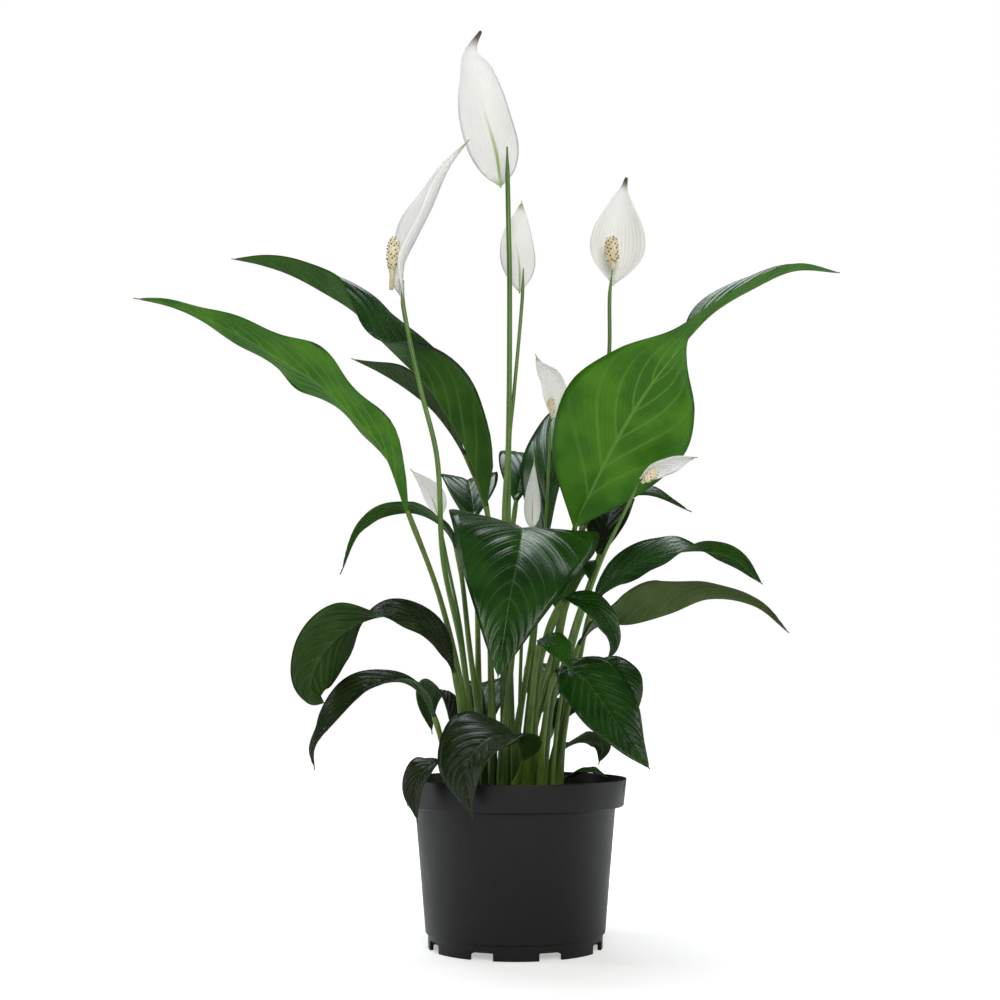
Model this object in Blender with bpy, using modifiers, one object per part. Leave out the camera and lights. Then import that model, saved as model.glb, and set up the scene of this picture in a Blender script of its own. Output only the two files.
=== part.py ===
"""A peace lily in its nursery pot, in metres, with +Z up and the pot's front facing -Y.

The origin is on the pot's axis, at the surface that the pot stands on. The plant's own
points are measured from the middle of the potting mix's surface, so the plant goes with
the mix when the pot's sizes change.
"""

import math

import bmesh
import bpy
from mathutils import Matrix, Vector, geometry

# Pot: its rim band, which narrows downwards and hangs over the shoulder, and its foot ring.
RIM_RADIUS = 0.085
BAND_TAPER = 0.0024
SHOULDER_WIDTH = 0.0063
FOOT_RADIUS = 0.0661
STEP_WIDTH = 0.0018
POT_HEIGHT = 0.126
BAND_DEPTH = 0.0205
STEP_HEIGHT = 0.0115
WALL = 0.0014
EDGE_ROUND = 0.0006
FLOOR_RAISE = 0.004
FOOT_WIDTH = 0.003
POT_STEPS = 48

# Arches cut through the foot ring, and the slot in the rim band.
ARCH_COUNT = 8
ARCH_WIDTH = 0.018
ARCH_HEIGHT = 0.0075
ARCH_REACH = 0.009
ARCH_ROUND = 0.003
SLOT_WIDTH = 0.002
SLOT_HEIGHT = 0.006
SLOT_BELOW_RIM = 0.003
SLOT_ANGLE = -15

# Potting mix, and the gap that every piece keeps from its neighbour.
MIX_BELOW_RIM = 0.014
MIX_DOME = 0.0015
GAP = 0.0003

# Leaves and flowers.
BLADE_THICKNESS = 0.0009
PETIOLE_RADIUS = 0.0022
TIP_RADIUS = 0.0004
PETIOLE_RINGS = 5
BLADE_RINGS = 15
SPATHE_THICKNESS = 0.0008
STEM_POINTS = 12
CURVE_STEPS = 16

BAND_RADIUS = RIM_RADIUS - BAND_TAPER
SHOULDER_RADIUS = BAND_RADIUS - SHOULDER_WIDTH
STEP_RADIUS = FOOT_RADIUS + STEP_WIDTH
BAND_FOOT = POT_HEIGHT - BAND_DEPTH
MIX_TOP = POT_HEIGHT - MIX_BELOW_RIM

LEAF_TONES = {
    "fresh": (0.045, 0.160, 0.018),
    "deep": (0.014, 0.070, 0.012),
    "dusky": (0.024, 0.050, 0.014),
}
STEM_GREEN = (0.090, 0.260, 0.040)
SPATHE_WHITE = (0.860, 0.870, 0.820)
SPADIX_CREAM = (0.700, 0.560, 0.280)
POT_CHARCOAL = (0.022, 0.022, 0.023)
MIX_BROWN = (0.030, 0.020, 0.014)


def from_rim(angle, outward, above):
    """A point of the plant at a distance from the pot's rim, so that it clears any rim."""
    radius = RIM_RADIUS + outward
    turn = math.radians(angle)
    return (radius * math.cos(turn), radius * math.sin(turn), MIX_BELOW_RIM + above)


# Each leaf: the line of its stalk and midrib, the point of it where the blade starts, the
# way it leans (degrees from +X), the blade's width, and its tone. "widths" holds the shares
# of that width from the blade's start to its tip. "roll" turns the blade about its midrib
# and "fold" raises both its halves, in degrees, at even steps from start to tip.
LEAVES = {
    "leaf_long_left": dict(
        spine=[(-0.036, -0.012, 0), (-0.040, -0.014, 0.074), (-0.057, -0.022, 0.149),
               (-0.082, -0.030, 0.216), (-0.100, -0.042, 0.262), (-0.123, -0.050, 0.287),
               (-0.147, -0.056, 0.309), (-0.168, -0.060, 0.322), (-0.201, -0.064, 0.342),
               (-0.232, -0.067, 0.357), (-0.258, -0.069, 0.367), (-0.285, -0.070, 0.371)],
        blade_from=3, heading=180, width=0.056, tone="fresh",
        widths=(0, 0.42, 0.66, 0.78, 0.88, 1, 0.86, 0.58, 0.38, 0.20, 0),
        roll=(26, 26, 28, 29, 29, 29, 28, 26, 24, 22, 20),
        fold=(24, 22, 20, 17, 15, 12, 12, 10, 8, 8, 8)),
    "leaf_upper_left": dict(
        spine=[(-0.017, -0.006, 0), (-0.020, -0.006, 0.150), (-0.022, -0.004, 0.222),
               (-0.037, -0.002, 0.266), (-0.051, 0.000, 0.292), (-0.068, 0.004, 0.318),
               (-0.089, 0.008, 0.340), (-0.114, 0.012, 0.365), (-0.128, 0.015, 0.381),
               (-0.152, 0.019, 0.397), (-0.180, 0.024, 0.413), (-0.205, 0.030, 0.423),
               (-0.231, 0.036, 0.430)],
        blade_from=2, heading=180, width=0.060, tone="deep",
        widths=(0, 0.55, 0.85, 1, 1, 0.96, 0.90, 0.78, 0.58, 0.34, 0),
        roll=(7, 7, 7, 6, -6, -34, -32, -10, -5, -5, -2),
        fold=(55, 66, 67, 66, 52, 26, 28, 48, 54, 52, 40)),
    "leaf_mid_left": dict(
        spine=[(-0.006, 0.020, 0), (-0.008, 0.036, 0.152), (-0.022, 0.042, 0.222),
               (-0.040, 0.048, 0.270), (-0.062, 0.058, 0.304), (-0.084, 0.070, 0.325),
               (-0.111, 0.088, 0.345), (-0.139, 0.108, 0.362)],
        blade_from=3, heading=160, width=0.038, tone="dusky",
        widths=(0, 0.40, 0.75, 0.95, 1, 0.98, 0.90, 0.72, 0.45, 0.20, 0),
        roll=(20, 25, 28, 30, 30, 25, 20), fold=(30, 28, 24, 20)),
    "leaf_great_right": dict(
        spine=[(0.021, -0.001, 0), (0.034, -0.018, 0.118), (0.045, -0.038, 0.203),
               (0.056, -0.050, 0.228), (0.070, -0.062, 0.256), (0.086, -0.072, 0.284),
               (0.105, -0.078, 0.312), (0.126, -0.078, 0.338), (0.148, -0.070, 0.361),
               (0.180, -0.058, 0.382), (0.214, -0.044, 0.399), (0.251, -0.030, 0.401)],
        blade_from=2, heading=0, width=0.104, tone="fresh",
        widths=(0, 0.56, 0.90, 1, 0.75, 0.43, 0.42, 0.40, 0.34, 0.22, 0),
        roll=(-74, -75, -75, -74, -64, -26, 10, 18, 18, 16, 12),
        fold=(4, 4, 4, 2, -4, 2, 20, 25, 25, 22, 16)),
    "leaf_front_centre": dict(
        spine=[(-0.011, -0.016, 0), (-0.002, -0.022, 0.110), (0.004, -0.040, 0.176),
               (0.005, -0.068, 0.199), (0.003, -0.108, 0.182), (-0.005, -0.138, 0.143),
               (-0.013, -0.155, 0.090)],
        blade_from=2, heading=-90, width=0.110, tone="deep",
        widths=(0, 0.52, 0.88, 1, 0.98, 0.86, 0.72, 0.56, 0.38, 0.20, 0),
        roll=(-8, -11, -10, -6, -5, -4), fold=(8, 6, 8, 10, 14, 14)),
    "leaf_thin_left": dict(
        spine=[(-0.023, 0.004, 0), (-0.036, 0.009, 0.119), (-0.046, 0.008, 0.191),
               (-0.059, 0.004, 0.210), (-0.084, -0.003, 0.218), (-0.116, -0.024, 0.203),
               (-0.132, -0.036, 0.167)],
        blade_from=2, heading=180, width=0.034, tone="deep", roll=(-20, 10, 10), fold=(15,)),
    "leaf_arch_left": dict(
        spine=[(-0.039, -0.024, 0), (-0.040, -0.028, 0.050), (-0.046, -0.036, 0.094),
               (-0.056, -0.048, 0.117), (-0.070, -0.060, 0.130), (-0.087, -0.070, 0.135),
               (-0.104, -0.078, 0.133), (-0.122, -0.085, 0.124), (-0.134, -0.091, 0.112),
               (-0.142, -0.097, 0.098), (-0.145, -0.103, 0.086), (-0.142, -0.107, 0.076),
               (-0.134, -0.110, 0.072)],
        blade_from=2, heading=205, width=0.052, tone="dusky",
        widths=(0, 0.50, 0.74, 0.76, 0.70, 0.70, 0.92, 1, 0.85, 0.50, 0),
        roll=(-40, -45, -46, -44, -34, 4, 50, 66, 76, 80, 70), fold=(10, 8, 6, 6, 8, 8, 6)),
    "leaf_low_left": dict(
        spine=[(-0.050, -0.034, 0), (-0.053, -0.042, 0.034), (-0.060, -0.054, 0.062),
               (-0.068, -0.062, 0.078), (-0.080, -0.072, 0.087), (-0.094, -0.082, 0.087),
               (-0.110, -0.092, 0.081), (-0.121, -0.102, 0.070), (-0.131, -0.112, 0.057),
               (-0.140, -0.120, 0.042), (-0.139, -0.125, 0.027)],
        blade_from=2, heading=215, width=0.040, tone="dusky",
        widths=(0, 0.40, 0.55, 0.66, 0.82, 1, 1, 0.75, 0.45, 0.25, 0),
        roll=(-20, -20, -15, -10, -5, 0, 10), fold=(24, 20, 16, 16)),
    "leaf_small_left": dict(
        spine=[(-0.036, 0.025, 0), (-0.047, 0.045, 0.041), (-0.056, 0.058, 0.072),
               (-0.064, 0.067, 0.080), (-0.069, 0.074, 0.068), (-0.067, 0.079, 0.044)],
        blade_from=1, heading=140, width=0.034, tone="dusky", roll=(20, 20), fold=(15,)),
    "leaf_rim_front": dict(
        spine=[(-0.003, -0.034, 0), (0.006, -0.046, 0.030), (0.000, -0.058, 0.046),
               (-0.020, -0.074, 0.046), from_rim(-111, 0.012, 0.012),
               from_rim(-108, 0.014, -0.024)],
        blade_from=1, heading=-140, width=0.066, tone="dusky", roll=(-10, -15, 0), fold=(16,)),
    "leaf_rim_left": dict(
        spine=[(-0.043, -0.042, 0), (-0.048, -0.048, 0.024), from_rim(-134, 0.000, 0.014),
               from_rim(-138, 0.012, 0.000), from_rim(-136, 0.014, -0.028)],
        blade_from=1, heading=-136, width=0.031, tone="dusky", roll=(0, 0), fold=(14,)),
    "leaf_mid_right": dict(
        spine=[(0.027, 0.017, 0), (0.048, 0.030, 0.088), (0.062, 0.036, 0.146),
               (0.080, 0.033, 0.170), (0.099, 0.025, 0.180), (0.122, 0.012, 0.187),
               (0.146, 0.000, 0.188), (0.169, -0.015, 0.180), (0.187, -0.030, 0.160)],
        blade_from=2, heading=-15, width=0.044, tone="deep",
        widths=(0, 0.50, 0.82, 1, 1, 0.96, 0.70, 0.50, 0.48, 0.34, 0),
        roll=(30, 40, 44, 44, 42, 34, 2, -36, -42, -40, -34), fold=(8, 8, 8, 8, 8, 8)),
    "leaf_pale_right": dict(
        spine=[(0.030, 0.006, 0), (0.041, 0.000, 0.078), (0.049, -0.008, 0.115),
               (0.063, -0.016, 0.130), (0.088, -0.030, 0.131), (0.115, -0.044, 0.138),
               (0.143, -0.058, 0.148), (0.174, -0.070, 0.142), (0.197, -0.080, 0.122)],
        blade_from=2, heading=-25, width=0.054, tone="dusky",
        widths=(0, 0.45, 0.78, 0.96, 1, 0.88, 0.62, 0.42, 0.36, 0.28, 0),
        roll=(32, 26, 10, -8, -14, -18, -20, -20, -20, -20, -18),
        fold=(8, 18, 34, 50, 54, 50, 42, 30, 22, 20, 18)),
    "leaf_thin_right": dict(
        spine=[(0.020, 0.010, 0), (0.037, 0.014, 0.135), (0.055, 0.008, 0.209),
               (0.082, -0.002, 0.228), (0.104, -0.015, 0.230), (0.134, -0.030, 0.215)],
        blade_from=2, heading=-15, width=0.032, tone="deep", roll=(10, 15, 10), fold=(18,)),
    "leaf_curl_front": dict(
        spine=[(0.013, -0.013, 0), (0.019, -0.046, 0.104), (0.034, -0.085, 0.145),
               (0.052, -0.105, 0.141), (0.066, -0.115, 0.121), (0.067, -0.119, 0.110),
               (0.061, -0.121, 0.100)],
        blade_from=2, heading=-35, width=0.022, tone="deep",
        roll=(34, 34, 28), fold=(16,)),
    "leaf_dart_front": dict(
        spine=[(0.007, -0.026, 0), (0.012, -0.046, 0.070), (0.018, -0.072, 0.116),
               (0.028, -0.088, 0.112), (0.041, -0.100, 0.093)],
        blade_from=2, heading=-40, width=0.022, tone="fresh", roll=(30, 30), fold=(16,)),
    "leaf_front_right": dict(
        spine=[(0.018, -0.025, 0), (0.021, -0.044, 0.052), (0.030, -0.062, 0.094),
               (0.045, -0.074, 0.093), (0.057, -0.086, 0.079), (0.068, -0.099, 0.062),
               (0.079, -0.109, 0.044), (0.092, -0.117, 0.027)],
        blade_from=2, heading=-50, width=0.048, tone="deep",
        widths=(0, 0.60, 0.92, 1, 1, 0.95, 0.84, 0.68, 0.48, 0.25, 0),
        roll=(26, 30, 32, 30, 26), fold=(8,)),
    "leaf_behind_right": dict(
        spine=[(0.033, -0.008, 0), (0.038, -0.012, 0.054), (0.048, -0.019, 0.092),
               (0.069, -0.036, 0.095), (0.083, -0.050, 0.081), (0.088, -0.059, 0.060)],
        blade_from=2, heading=-35, width=0.038, tone="deep", roll=(20, 24), fold=(12,)),
    "leaf_small_right": dict(
        spine=[(0.030, 0.027, 0), (0.034, 0.040, 0.029), (0.050, 0.052, 0.039),
               (0.069, 0.060, 0.036), (0.068, 0.066, 0.020)],
        blade_from=1, heading=45, width=0.030, tone="dusky", roll=(-20, -20), fold=(12,)),
    "leaf_soil_right": dict(
        spine=[(0.027, 0.044, 0), (0.040, 0.041, 0.011), from_rim(27, -0.020, 0.003),
               from_rim(16, -0.010, -0.001)],
        blade_from=1, heading=-25, width=0.020, tone="fresh", roll=(10, 10), fold=(10,)),
    "leaf_back_left": dict(
        spine=[(-0.028, 0.030, 0), (-0.030, 0.056, 0.152), (-0.033, 0.085, 0.222),
               (-0.038, 0.120, 0.256), (-0.042, 0.165, 0.258), (-0.040, 0.205, 0.225)],
        blade_from=2, heading=95, width=0.052, tone="deep", roll=(0, 0), fold=(14,)),
    "leaf_back_top": dict(
        spine=[(-0.008, 0.047, 0), (-0.006, 0.075, 0.150), (0.002, 0.100, 0.238),
               (0.012, 0.140, 0.280), (0.020, 0.190, 0.282), (0.024, 0.235, 0.245)],
        blade_from=2, heading=80, width=0.050, tone="deep", roll=(0, 0), fold=(14,)),
    "leaf_back_upright": dict(
        spine=[(-0.002, 0.036, 0), (0.014, 0.055, 0.120), (0.024, 0.062, 0.190),
               (0.030, 0.072, 0.262), (0.058, 0.110, 0.318), (0.090, 0.160, 0.306),
               (0.106, 0.200, 0.255)],
        blade_from=2, heading=50, width=0.070, tone="deep", roll=(-20, -10, 0), fold=(12,)),
    "leaf_back_low_left": dict(
        spine=[(-0.017, 0.022, 0), (-0.021, 0.050, 0.052), (-0.026, 0.085, 0.082),
               (-0.031, 0.125, 0.080), (-0.034, 0.165, 0.050)],
        blade_from=1, heading=100, width=0.040, tone="deep", roll=(0, 0), fold=(14,)),
    "leaf_back_low": dict(
        spine=[(0.007, 0.050, 0), (0.020, 0.085, 0.060), (0.034, 0.122, 0.095),
               (0.045, 0.165, 0.094), (0.050, 0.205, 0.062)],
        blade_from=1, heading=75, width=0.050, tone="deep", roll=(0, 0), fold=(14,)),
    "leaf_back_low_right": dict(
        spine=[(0.016, 0.060, 0), (0.032, 0.090, 0.048), (0.052, 0.125, 0.068),
               (0.068, 0.160, 0.062), (0.072, 0.190, 0.040)],
        blade_from=1, heading=65, width=0.042, tone="deep", roll=(0, 0), fold=(14,)),
    "leaf_olive_right": dict(
        spine=[(0.017, 0.025, 0), (0.045, 0.050, 0.120), (0.070, 0.072, 0.190),
               (0.080, 0.092, 0.225), (0.088, 0.125, 0.238), (0.092, 0.165, 0.222)],
        blade_from=2, heading=70, width=0.042, tone="dusky", roll=(0, 0), fold=(14,)),
    "leaf_inner_right": dict(
        spine=[(0.010, 0.037, 0), (0.019, 0.053, 0.072), (0.032, 0.063, 0.112),
               (0.042, 0.068, 0.142), (0.050, 0.072, 0.166)],
        blade_from=2, heading=30, width=0.026, tone="deep", roll=(-40, -40), fold=(12,)),
    "leaf_centre_right": dict(
        spine=[(0.012, -0.003, 0), (0.016, -0.022, 0.088), (0.032, -0.039, 0.140),
               (0.042, -0.057, 0.168), (0.048, -0.070, 0.172), (0.054, -0.087, 0.158)],
        blade_from=2, heading=-45, width=0.036, tone="deep", roll=(-10, 0), fold=(14,)),
}

# Each flower: its stalk's line and radius, the spathe's line, lean, width, roll and cup
# (degrees from midrib to edge), and the spadix's line (stalk end, foot, top) and radius.
FLOWERS = {
    "tall": dict(
        stem=[(-0.008, -0.002, 0), (-0.009, -0.005, 0.073), (-0.008, -0.010, 0.215),
              (-0.005, -0.012, 0.272), (-0.004, -0.015, 0.394), (-0.005, -0.015, 0.451),
              (-0.006, -0.011, 0.508)],
        radius=0.0022,
        spathe=dict(spine=[(-0.011, -0.002, 0.478), (-0.015, 0.003, 0.510),
                           (-0.024, 0.005, 0.543), (-0.030, 0.003, 0.571),
                           (-0.035, -0.003, 0.590), (-0.027, -0.006, 0.606)],
                    heading=-90, width=0.050, roll=(0,), cup=62,
                    widths=(0, 0.50, 0.80, 0.96, 1, 0.98, 0.90, 0.74, 0.48, 0.18, 0.05)),
        spadix=[(-0.013, 0.007, 0.500), (-0.015, 0.012, 0.508), (-0.020, 0.015, 0.536)],
        spadix_radius=0.0045),
    "left": dict(
        stem=[(-0.031, -0.001, 0), (-0.040, -0.009, 0.106), (-0.055, -0.016, 0.179),
              (-0.060, -0.020, 0.258), (-0.073, -0.020, 0.312), (-0.087, -0.018, 0.378)],
        radius=0.0021,
        spathe=dict(spine=[(-0.087, -0.018, 0.382), (-0.087, -0.018, 0.409),
                           (-0.078, -0.018, 0.430), (-0.066, -0.018, 0.455),
                           (-0.052, -0.018, 0.488), (-0.036, -0.020, 0.511)],
                    heading=0, width=0.058, belly=0.45, roll=(18,), cup=52),
        spadix=[(-0.092, -0.016, 0.392), (-0.096, -0.015, 0.407), (-0.095, -0.015, 0.433)],
        spadix_radius=0.0048),
    "middle": dict(
        stem=[(-0.001, 0.008, 0), (-0.004, 0.008, 0.150), (-0.004, 0.006, 0.275),
              (-0.001, 0.005, 0.308), (0.006, 0.005, 0.387), (0.007, 0.006, 0.414)],
        radius=0.0016,
        spathe=dict(spine=[(0.004, 0.011, 0.395), (0.004, 0.013, 0.416),
                           (0.002, 0.016, 0.440), (0.004, 0.014, 0.456),
                           (0.006, 0.011, 0.471)],
                    heading=-90, width=0.034, belly=0.46, roll=(0,), cup=66),
        spadix=[(0.004, 0.017, 0.410), (0.004, 0.020, 0.416), (0.003, 0.023, 0.438)],
        spadix_radius=0.0035),
    "right": dict(
        stem=[(0.008, 0.016, 0), (0.035, 0.018, 0.119), (0.064, 0.016, 0.269),
              (0.075, 0.012, 0.343), (0.076, 0.010, 0.393), (0.078, 0.007, 0.413)],
        radius=0.0018,
        spathe=dict(spine=[(0.079, 0.013, 0.402), (0.082, 0.017, 0.428),
                           (0.084, 0.016, 0.452), (0.086, 0.012, 0.471),
                           (0.090, 0.007, 0.489)],
                    heading=90, width=0.048, roll=(0,), cup=48,
                    widths=(0, 0.52, 0.84, 0.98, 1, 0.93, 0.78, 0.58, 0.36, 0.14, 0.05)),
        spadix=[(0.078, 0.006, 0.4135), (0.078, 0.004, 0.417), (0.077, 0.001, 0.438)],
        spadix_radius=0.0052),
    "wilted": dict(
        stem=[(0.005, 0.027, 0), (0.016, 0.031, 0.119), (0.025, 0.031, 0.215),
              (0.029, 0.029, 0.290), (0.030, 0.029, 0.296)],
        radius=0.0013,
        spathe=dict(spine=[(0.031, 0.032, 0.297), (0.031, 0.036, 0.313),
                           (0.027, 0.036, 0.331), (0.020, 0.031, 0.341),
                           (0.017, 0.027, 0.349)],
                    heading=90, width=0.026, belly=0.40, roll=(20,), cup=62),
        spadix=[(0.030, 0.028, 0.2965), (0.030, 0.0265, 0.300), (0.029, 0.025, 0.313)],
        spadix_radius=0.0028),
    "low": dict(
        stem=[(0.028, -0.017, 0), (0.033, -0.026, 0.066), (0.046, -0.042, 0.124),
              (0.063, -0.060, 0.175), (0.080, -0.073, 0.211), (0.090, -0.076, 0.232)],
        radius=0.0015,
        spathe=dict(spine=[(0.091, -0.073, 0.235), (0.098, -0.072, 0.242),
                           (0.108, -0.072, 0.247), (0.121, -0.074, 0.250),
                           (0.133, -0.078, 0.250)],
                    heading=0, width=0.024, belly=0.42, roll=(150,), cup=55),
        spadix=[(0.0915, -0.0765, 0.2325), (0.094, -0.077, 0.233), (0.103, -0.079, 0.240)],
        spadix_radius=0.0036),
    "left_bud": dict(
        stem=[(-0.030, 0.014, 0), (-0.041, 0.019, 0.119), (-0.054, 0.023, 0.185),
              (-0.060, 0.024, 0.214)],
        radius=0.0014,
        spathe=dict(spine=[(-0.0605, 0.0242, 0.216), (-0.064, 0.025, 0.228),
                           (-0.072, 0.025, 0.242), (-0.083, 0.022, 0.255)],
                    heading=180, width=0.022, belly=0.35, roll=(60,), cup=60),
        spadix=None),
    "centre_bud": dict(
        stem=[(0.003, -0.008, 0), (0.005, -0.010, 0.118), (0.011, -0.012, 0.180),
              (0.0125, -0.012, 0.202)],
        radius=0.0014,
        spathe=dict(spine=[(0.013, -0.012, 0.204), (0.0135, -0.011, 0.222),
                           (0.014, -0.011, 0.240), (0.015, -0.012, 0.259)],
                    heading=-90, width=0.016, belly=0.32, roll=(0,), cup=70),
        spadix=None),
}


def clear_scene():
    for obj in list(bpy.data.objects):
        bpy.data.objects.remove(obj, do_unlink=True)


def new_collection(name):
    collection = bpy.data.collections.new(name)
    bpy.context.scene.collection.children.link(collection)
    return collection


def principled(name, color, roughness):
    material = bpy.data.materials.new(name)
    material.use_nodes = True
    shader = material.node_tree.nodes["Principled BSDF"]
    shader.inputs["Base Color"].default_value = (*color, 1)
    shader.inputs["Roughness"].default_value = roughness
    shader.inputs["Metallic"].default_value = 0
    return material


def add_object(name, data, collection, color=None, roughness=0.5):
    obj = bpy.data.objects.new(name, data)
    collection.objects.link(obj)
    if color:
        data.materials.append(principled(name, color, roughness))
    return obj


def turned(name, profile, collection, color, roughness):
    """A profile of (radius, height) points, closed or ending on the axis, turned about Z."""
    mesh = bpy.data.meshes.new(name)
    points = [(radius, 0, height) for radius, height in profile]
    edges = [(i, i + 1) for i in range(len(points) - 1)]
    mesh.from_pydata(points, edges, [])
    obj = add_object(name, mesh, collection, color, roughness)
    screw = obj.modifiers.new("Turn", "SCREW")
    screw.steps = POT_STEPS
    screw.render_steps = POT_STEPS
    screw.use_merge_vertices = True
    screw.merge_threshold = 0.00001
    screw.use_smooth_shade = True
    return obj


def pot_outline():
    """The pot's outside, from the rim's top edge down to the ground."""
    return [
        (RIM_RADIUS - EDGE_ROUND, POT_HEIGHT),
        (RIM_RADIUS, POT_HEIGHT - EDGE_ROUND),
        (BAND_RADIUS + EDGE_ROUND * 0.5, BAND_FOOT + EDGE_ROUND),
        (BAND_RADIUS - EDGE_ROUND, BAND_FOOT),
        (SHOULDER_RADIUS, BAND_FOOT - WALL * 0.5),
        (STEP_RADIUS, STEP_HEIGHT + EDGE_ROUND),
        (STEP_RADIUS - EDGE_ROUND, STEP_HEIGHT),
        (FOOT_RADIUS, STEP_HEIGHT - EDGE_ROUND),
        (FOOT_RADIUS, 0),
    ]


def pot_lining(gap=0):
    """The pot's inside from its floor up to its rim, or a line at a gap inside it."""
    inset = WALL + gap
    floor = FLOOR_RAISE + inset
    ledge = BAND_FOOT + inset
    step = STEP_HEIGHT + inset
    return [
        (FOOT_RADIUS - inset, floor),
        (FOOT_RADIUS - inset, step),
        (STEP_RADIUS - inset, step + STEP_WIDTH),
        (SHOULDER_RADIUS - inset, ledge),
        (BAND_RADIUS - inset, ledge + EDGE_ROUND),
        (RIM_RADIUS - inset, POT_HEIGHT),
    ]


def filled_to(lining, height):
    """The part of a lining below a height, ending on it."""
    filled = []
    for (radius, low), (next_radius, high) in zip(lining, lining[1:]):
        filled.append((radius, low))
        if high >= height:
            share = (height - low) / (high - low)
            filled.append((radius + (next_radius - radius) * share, height))
            break
    return filled


def arch_cutter(collection):
    """One rounded block for each arch, all in one cutter."""
    shape = bmesh.new()
    for index in range(ARCH_COUNT):
        angle = 2 * math.pi * (index + 0.5) / ARCH_COUNT - math.pi / 2
        block = bmesh.ops.create_cube(shape, size=1)["verts"]
        size = Vector((ARCH_REACH * 2, ARCH_WIDTH, ARCH_HEIGHT * 2))
        bmesh.ops.scale(shape, verts=block, vec=size)
        top = [
            edge
            for edge in {edge for vert in block for edge in vert.link_edges}
            if all(vert.co.z > 0 for vert in edge.verts)
            and abs(edge.verts[0].co.y - edge.verts[1].co.y) < ARCH_WIDTH / 2
        ]
        bmesh.ops.rotate(
            shape, verts=block, cent=(0, 0, 0), matrix=Matrix.Rotation(angle, 3, "Z")
        )
        offset = Vector((math.cos(angle), math.sin(angle), 0)) * FOOT_RADIUS
        bmesh.ops.translate(shape, verts=block, vec=offset)
        bmesh.ops.bevel(
            shape, geom=top, offset=ARCH_ROUND, segments=3, profile=0.5, affect="EDGES"
        )
    return cutter("arches", shape, collection)


def slot_cutter(collection):
    shape = bmesh.new()
    bmesh.ops.create_cube(shape, size=1)
    size = Vector((WALL * 6, SLOT_WIDTH, SLOT_HEIGHT))
    bmesh.ops.scale(shape, verts=shape.verts, vec=size)
    middle = POT_HEIGHT - SLOT_BELOW_RIM - SLOT_HEIGHT / 2
    bmesh.ops.translate(shape, verts=shape.verts, vec=(RIM_RADIUS, 0, middle))
    turn = Matrix.Rotation(math.radians(SLOT_ANGLE), 3, "Z")
    bmesh.ops.rotate(shape, verts=shape.verts, cent=(0, 0, 0), matrix=turn)
    return cutter("slot", shape, collection)


def cutter(name, shape, collection):
    mesh = bpy.data.meshes.new(name)
    shape.to_mesh(mesh)
    shape.free()
    obj = add_object(name, mesh, collection)
    obj.hide_render = True
    obj.display_type = "WIRE"
    return obj


def cut(obj, tool):
    boolean = obj.modifiers.new(tool.name, "BOOLEAN")
    boolean.operation = "DIFFERENCE"
    boolean.object = tool


def build_pot(collection, cutters):
    outside = pot_outline()
    inside = pot_lining()
    underside = [
        (FOOT_RADIUS - FOOT_WIDTH, 0),
        (FOOT_RADIUS - FOOT_WIDTH, FLOOR_RAISE),
        (0, FLOOR_RAISE),
        (0, inside[0][1]),
    ]
    profile = outside + underside + inside + outside[:1]
    pot = turned("pot", profile, collection, POT_CHARCOAL, 0.42)
    cut(pot, arch_cutter(cutters))
    cut(pot, slot_cutter(cutters))


def build_potting_mix(collection):
    side = filled_to(pot_lining(GAP), MIX_TOP - MIX_DOME)
    edge = side[-1][0]
    surface = [
        (0, MIX_TOP),
        (edge * 0.5, MIX_TOP),
        (edge * 0.9, MIX_TOP - MIX_DOME * 0.3),
    ]
    profile = surface + side[::-1] + [(0, side[0][1])]
    turned("potting_mix", profile, collection, MIX_BROWN, 0.95)


def smooth_line(points, upright=False):
    """A smooth curve through the points, in short steps. It can leave its first straight up."""
    knots = [Vector(point) + Vector((0, 0, MIX_TOP)) for point in points]
    ends = [knots[0]] + knots + [knots[-1]]
    ways = [(after - before).normalized() for before, after in zip(ends, ends[2:])]
    if upright:
        ways[0] = Vector((0, 0, 1))
    line = []
    for start, end, leave, arrive in zip(knots, knots[1:], ways, ways[1:]):
        reach = (end - start).length / 3
        line += geometry.interpolate_bezier(
            start, start + leave * reach, end - arrive * reach, end, CURVE_STEPS
        )[:-1]
    return line + [knots[-1]]


def place_on(line, lengths, share):
    """The point at a share of the line's length, and the way that the line runs there."""
    target = share * lengths[-1]
    step = next((i for i, length in enumerate(lengths) if length > target), len(line) - 1)
    step = max(step, 1)
    start, end = line[step - 1], line[step]
    part = (target - lengths[step - 1]) / (lengths[step] - lengths[step - 1])
    before, after = line[max(step - 2, 0)], line[min(step + 1, len(line) - 1)]
    return start.lerp(end, part), (after - before).normalized()


def running_lengths(line):
    lengths = [0]
    for start, end in zip(line, line[1:]):
        lengths.append(lengths[-1] + (end - start).length)
    return lengths


def blade_share(place, spec):
    """The blade's width at a place from its start (0) to its tip (1), most being 1."""
    if "widths" in spec:
        return between(spec["widths"], place)
    belly = spec.get("belly", 0.4)
    fullness = spec.get("fullness", 2.3)
    rise = fullness * belly
    fall = fullness * (1 - belly)
    return (place / belly) ** rise * ((1 - place) / (1 - belly)) ** fall


def between(values, place):
    """The value at a place from 0 to 1 along evenly spaced values."""
    if len(values) == 1:
        return values[0]
    scaled = place * (len(values) - 1)
    index = min(int(scaled), len(values) - 2)
    part = scaled - index
    return values[index] * (1 - part) + values[index + 1] * part


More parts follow.
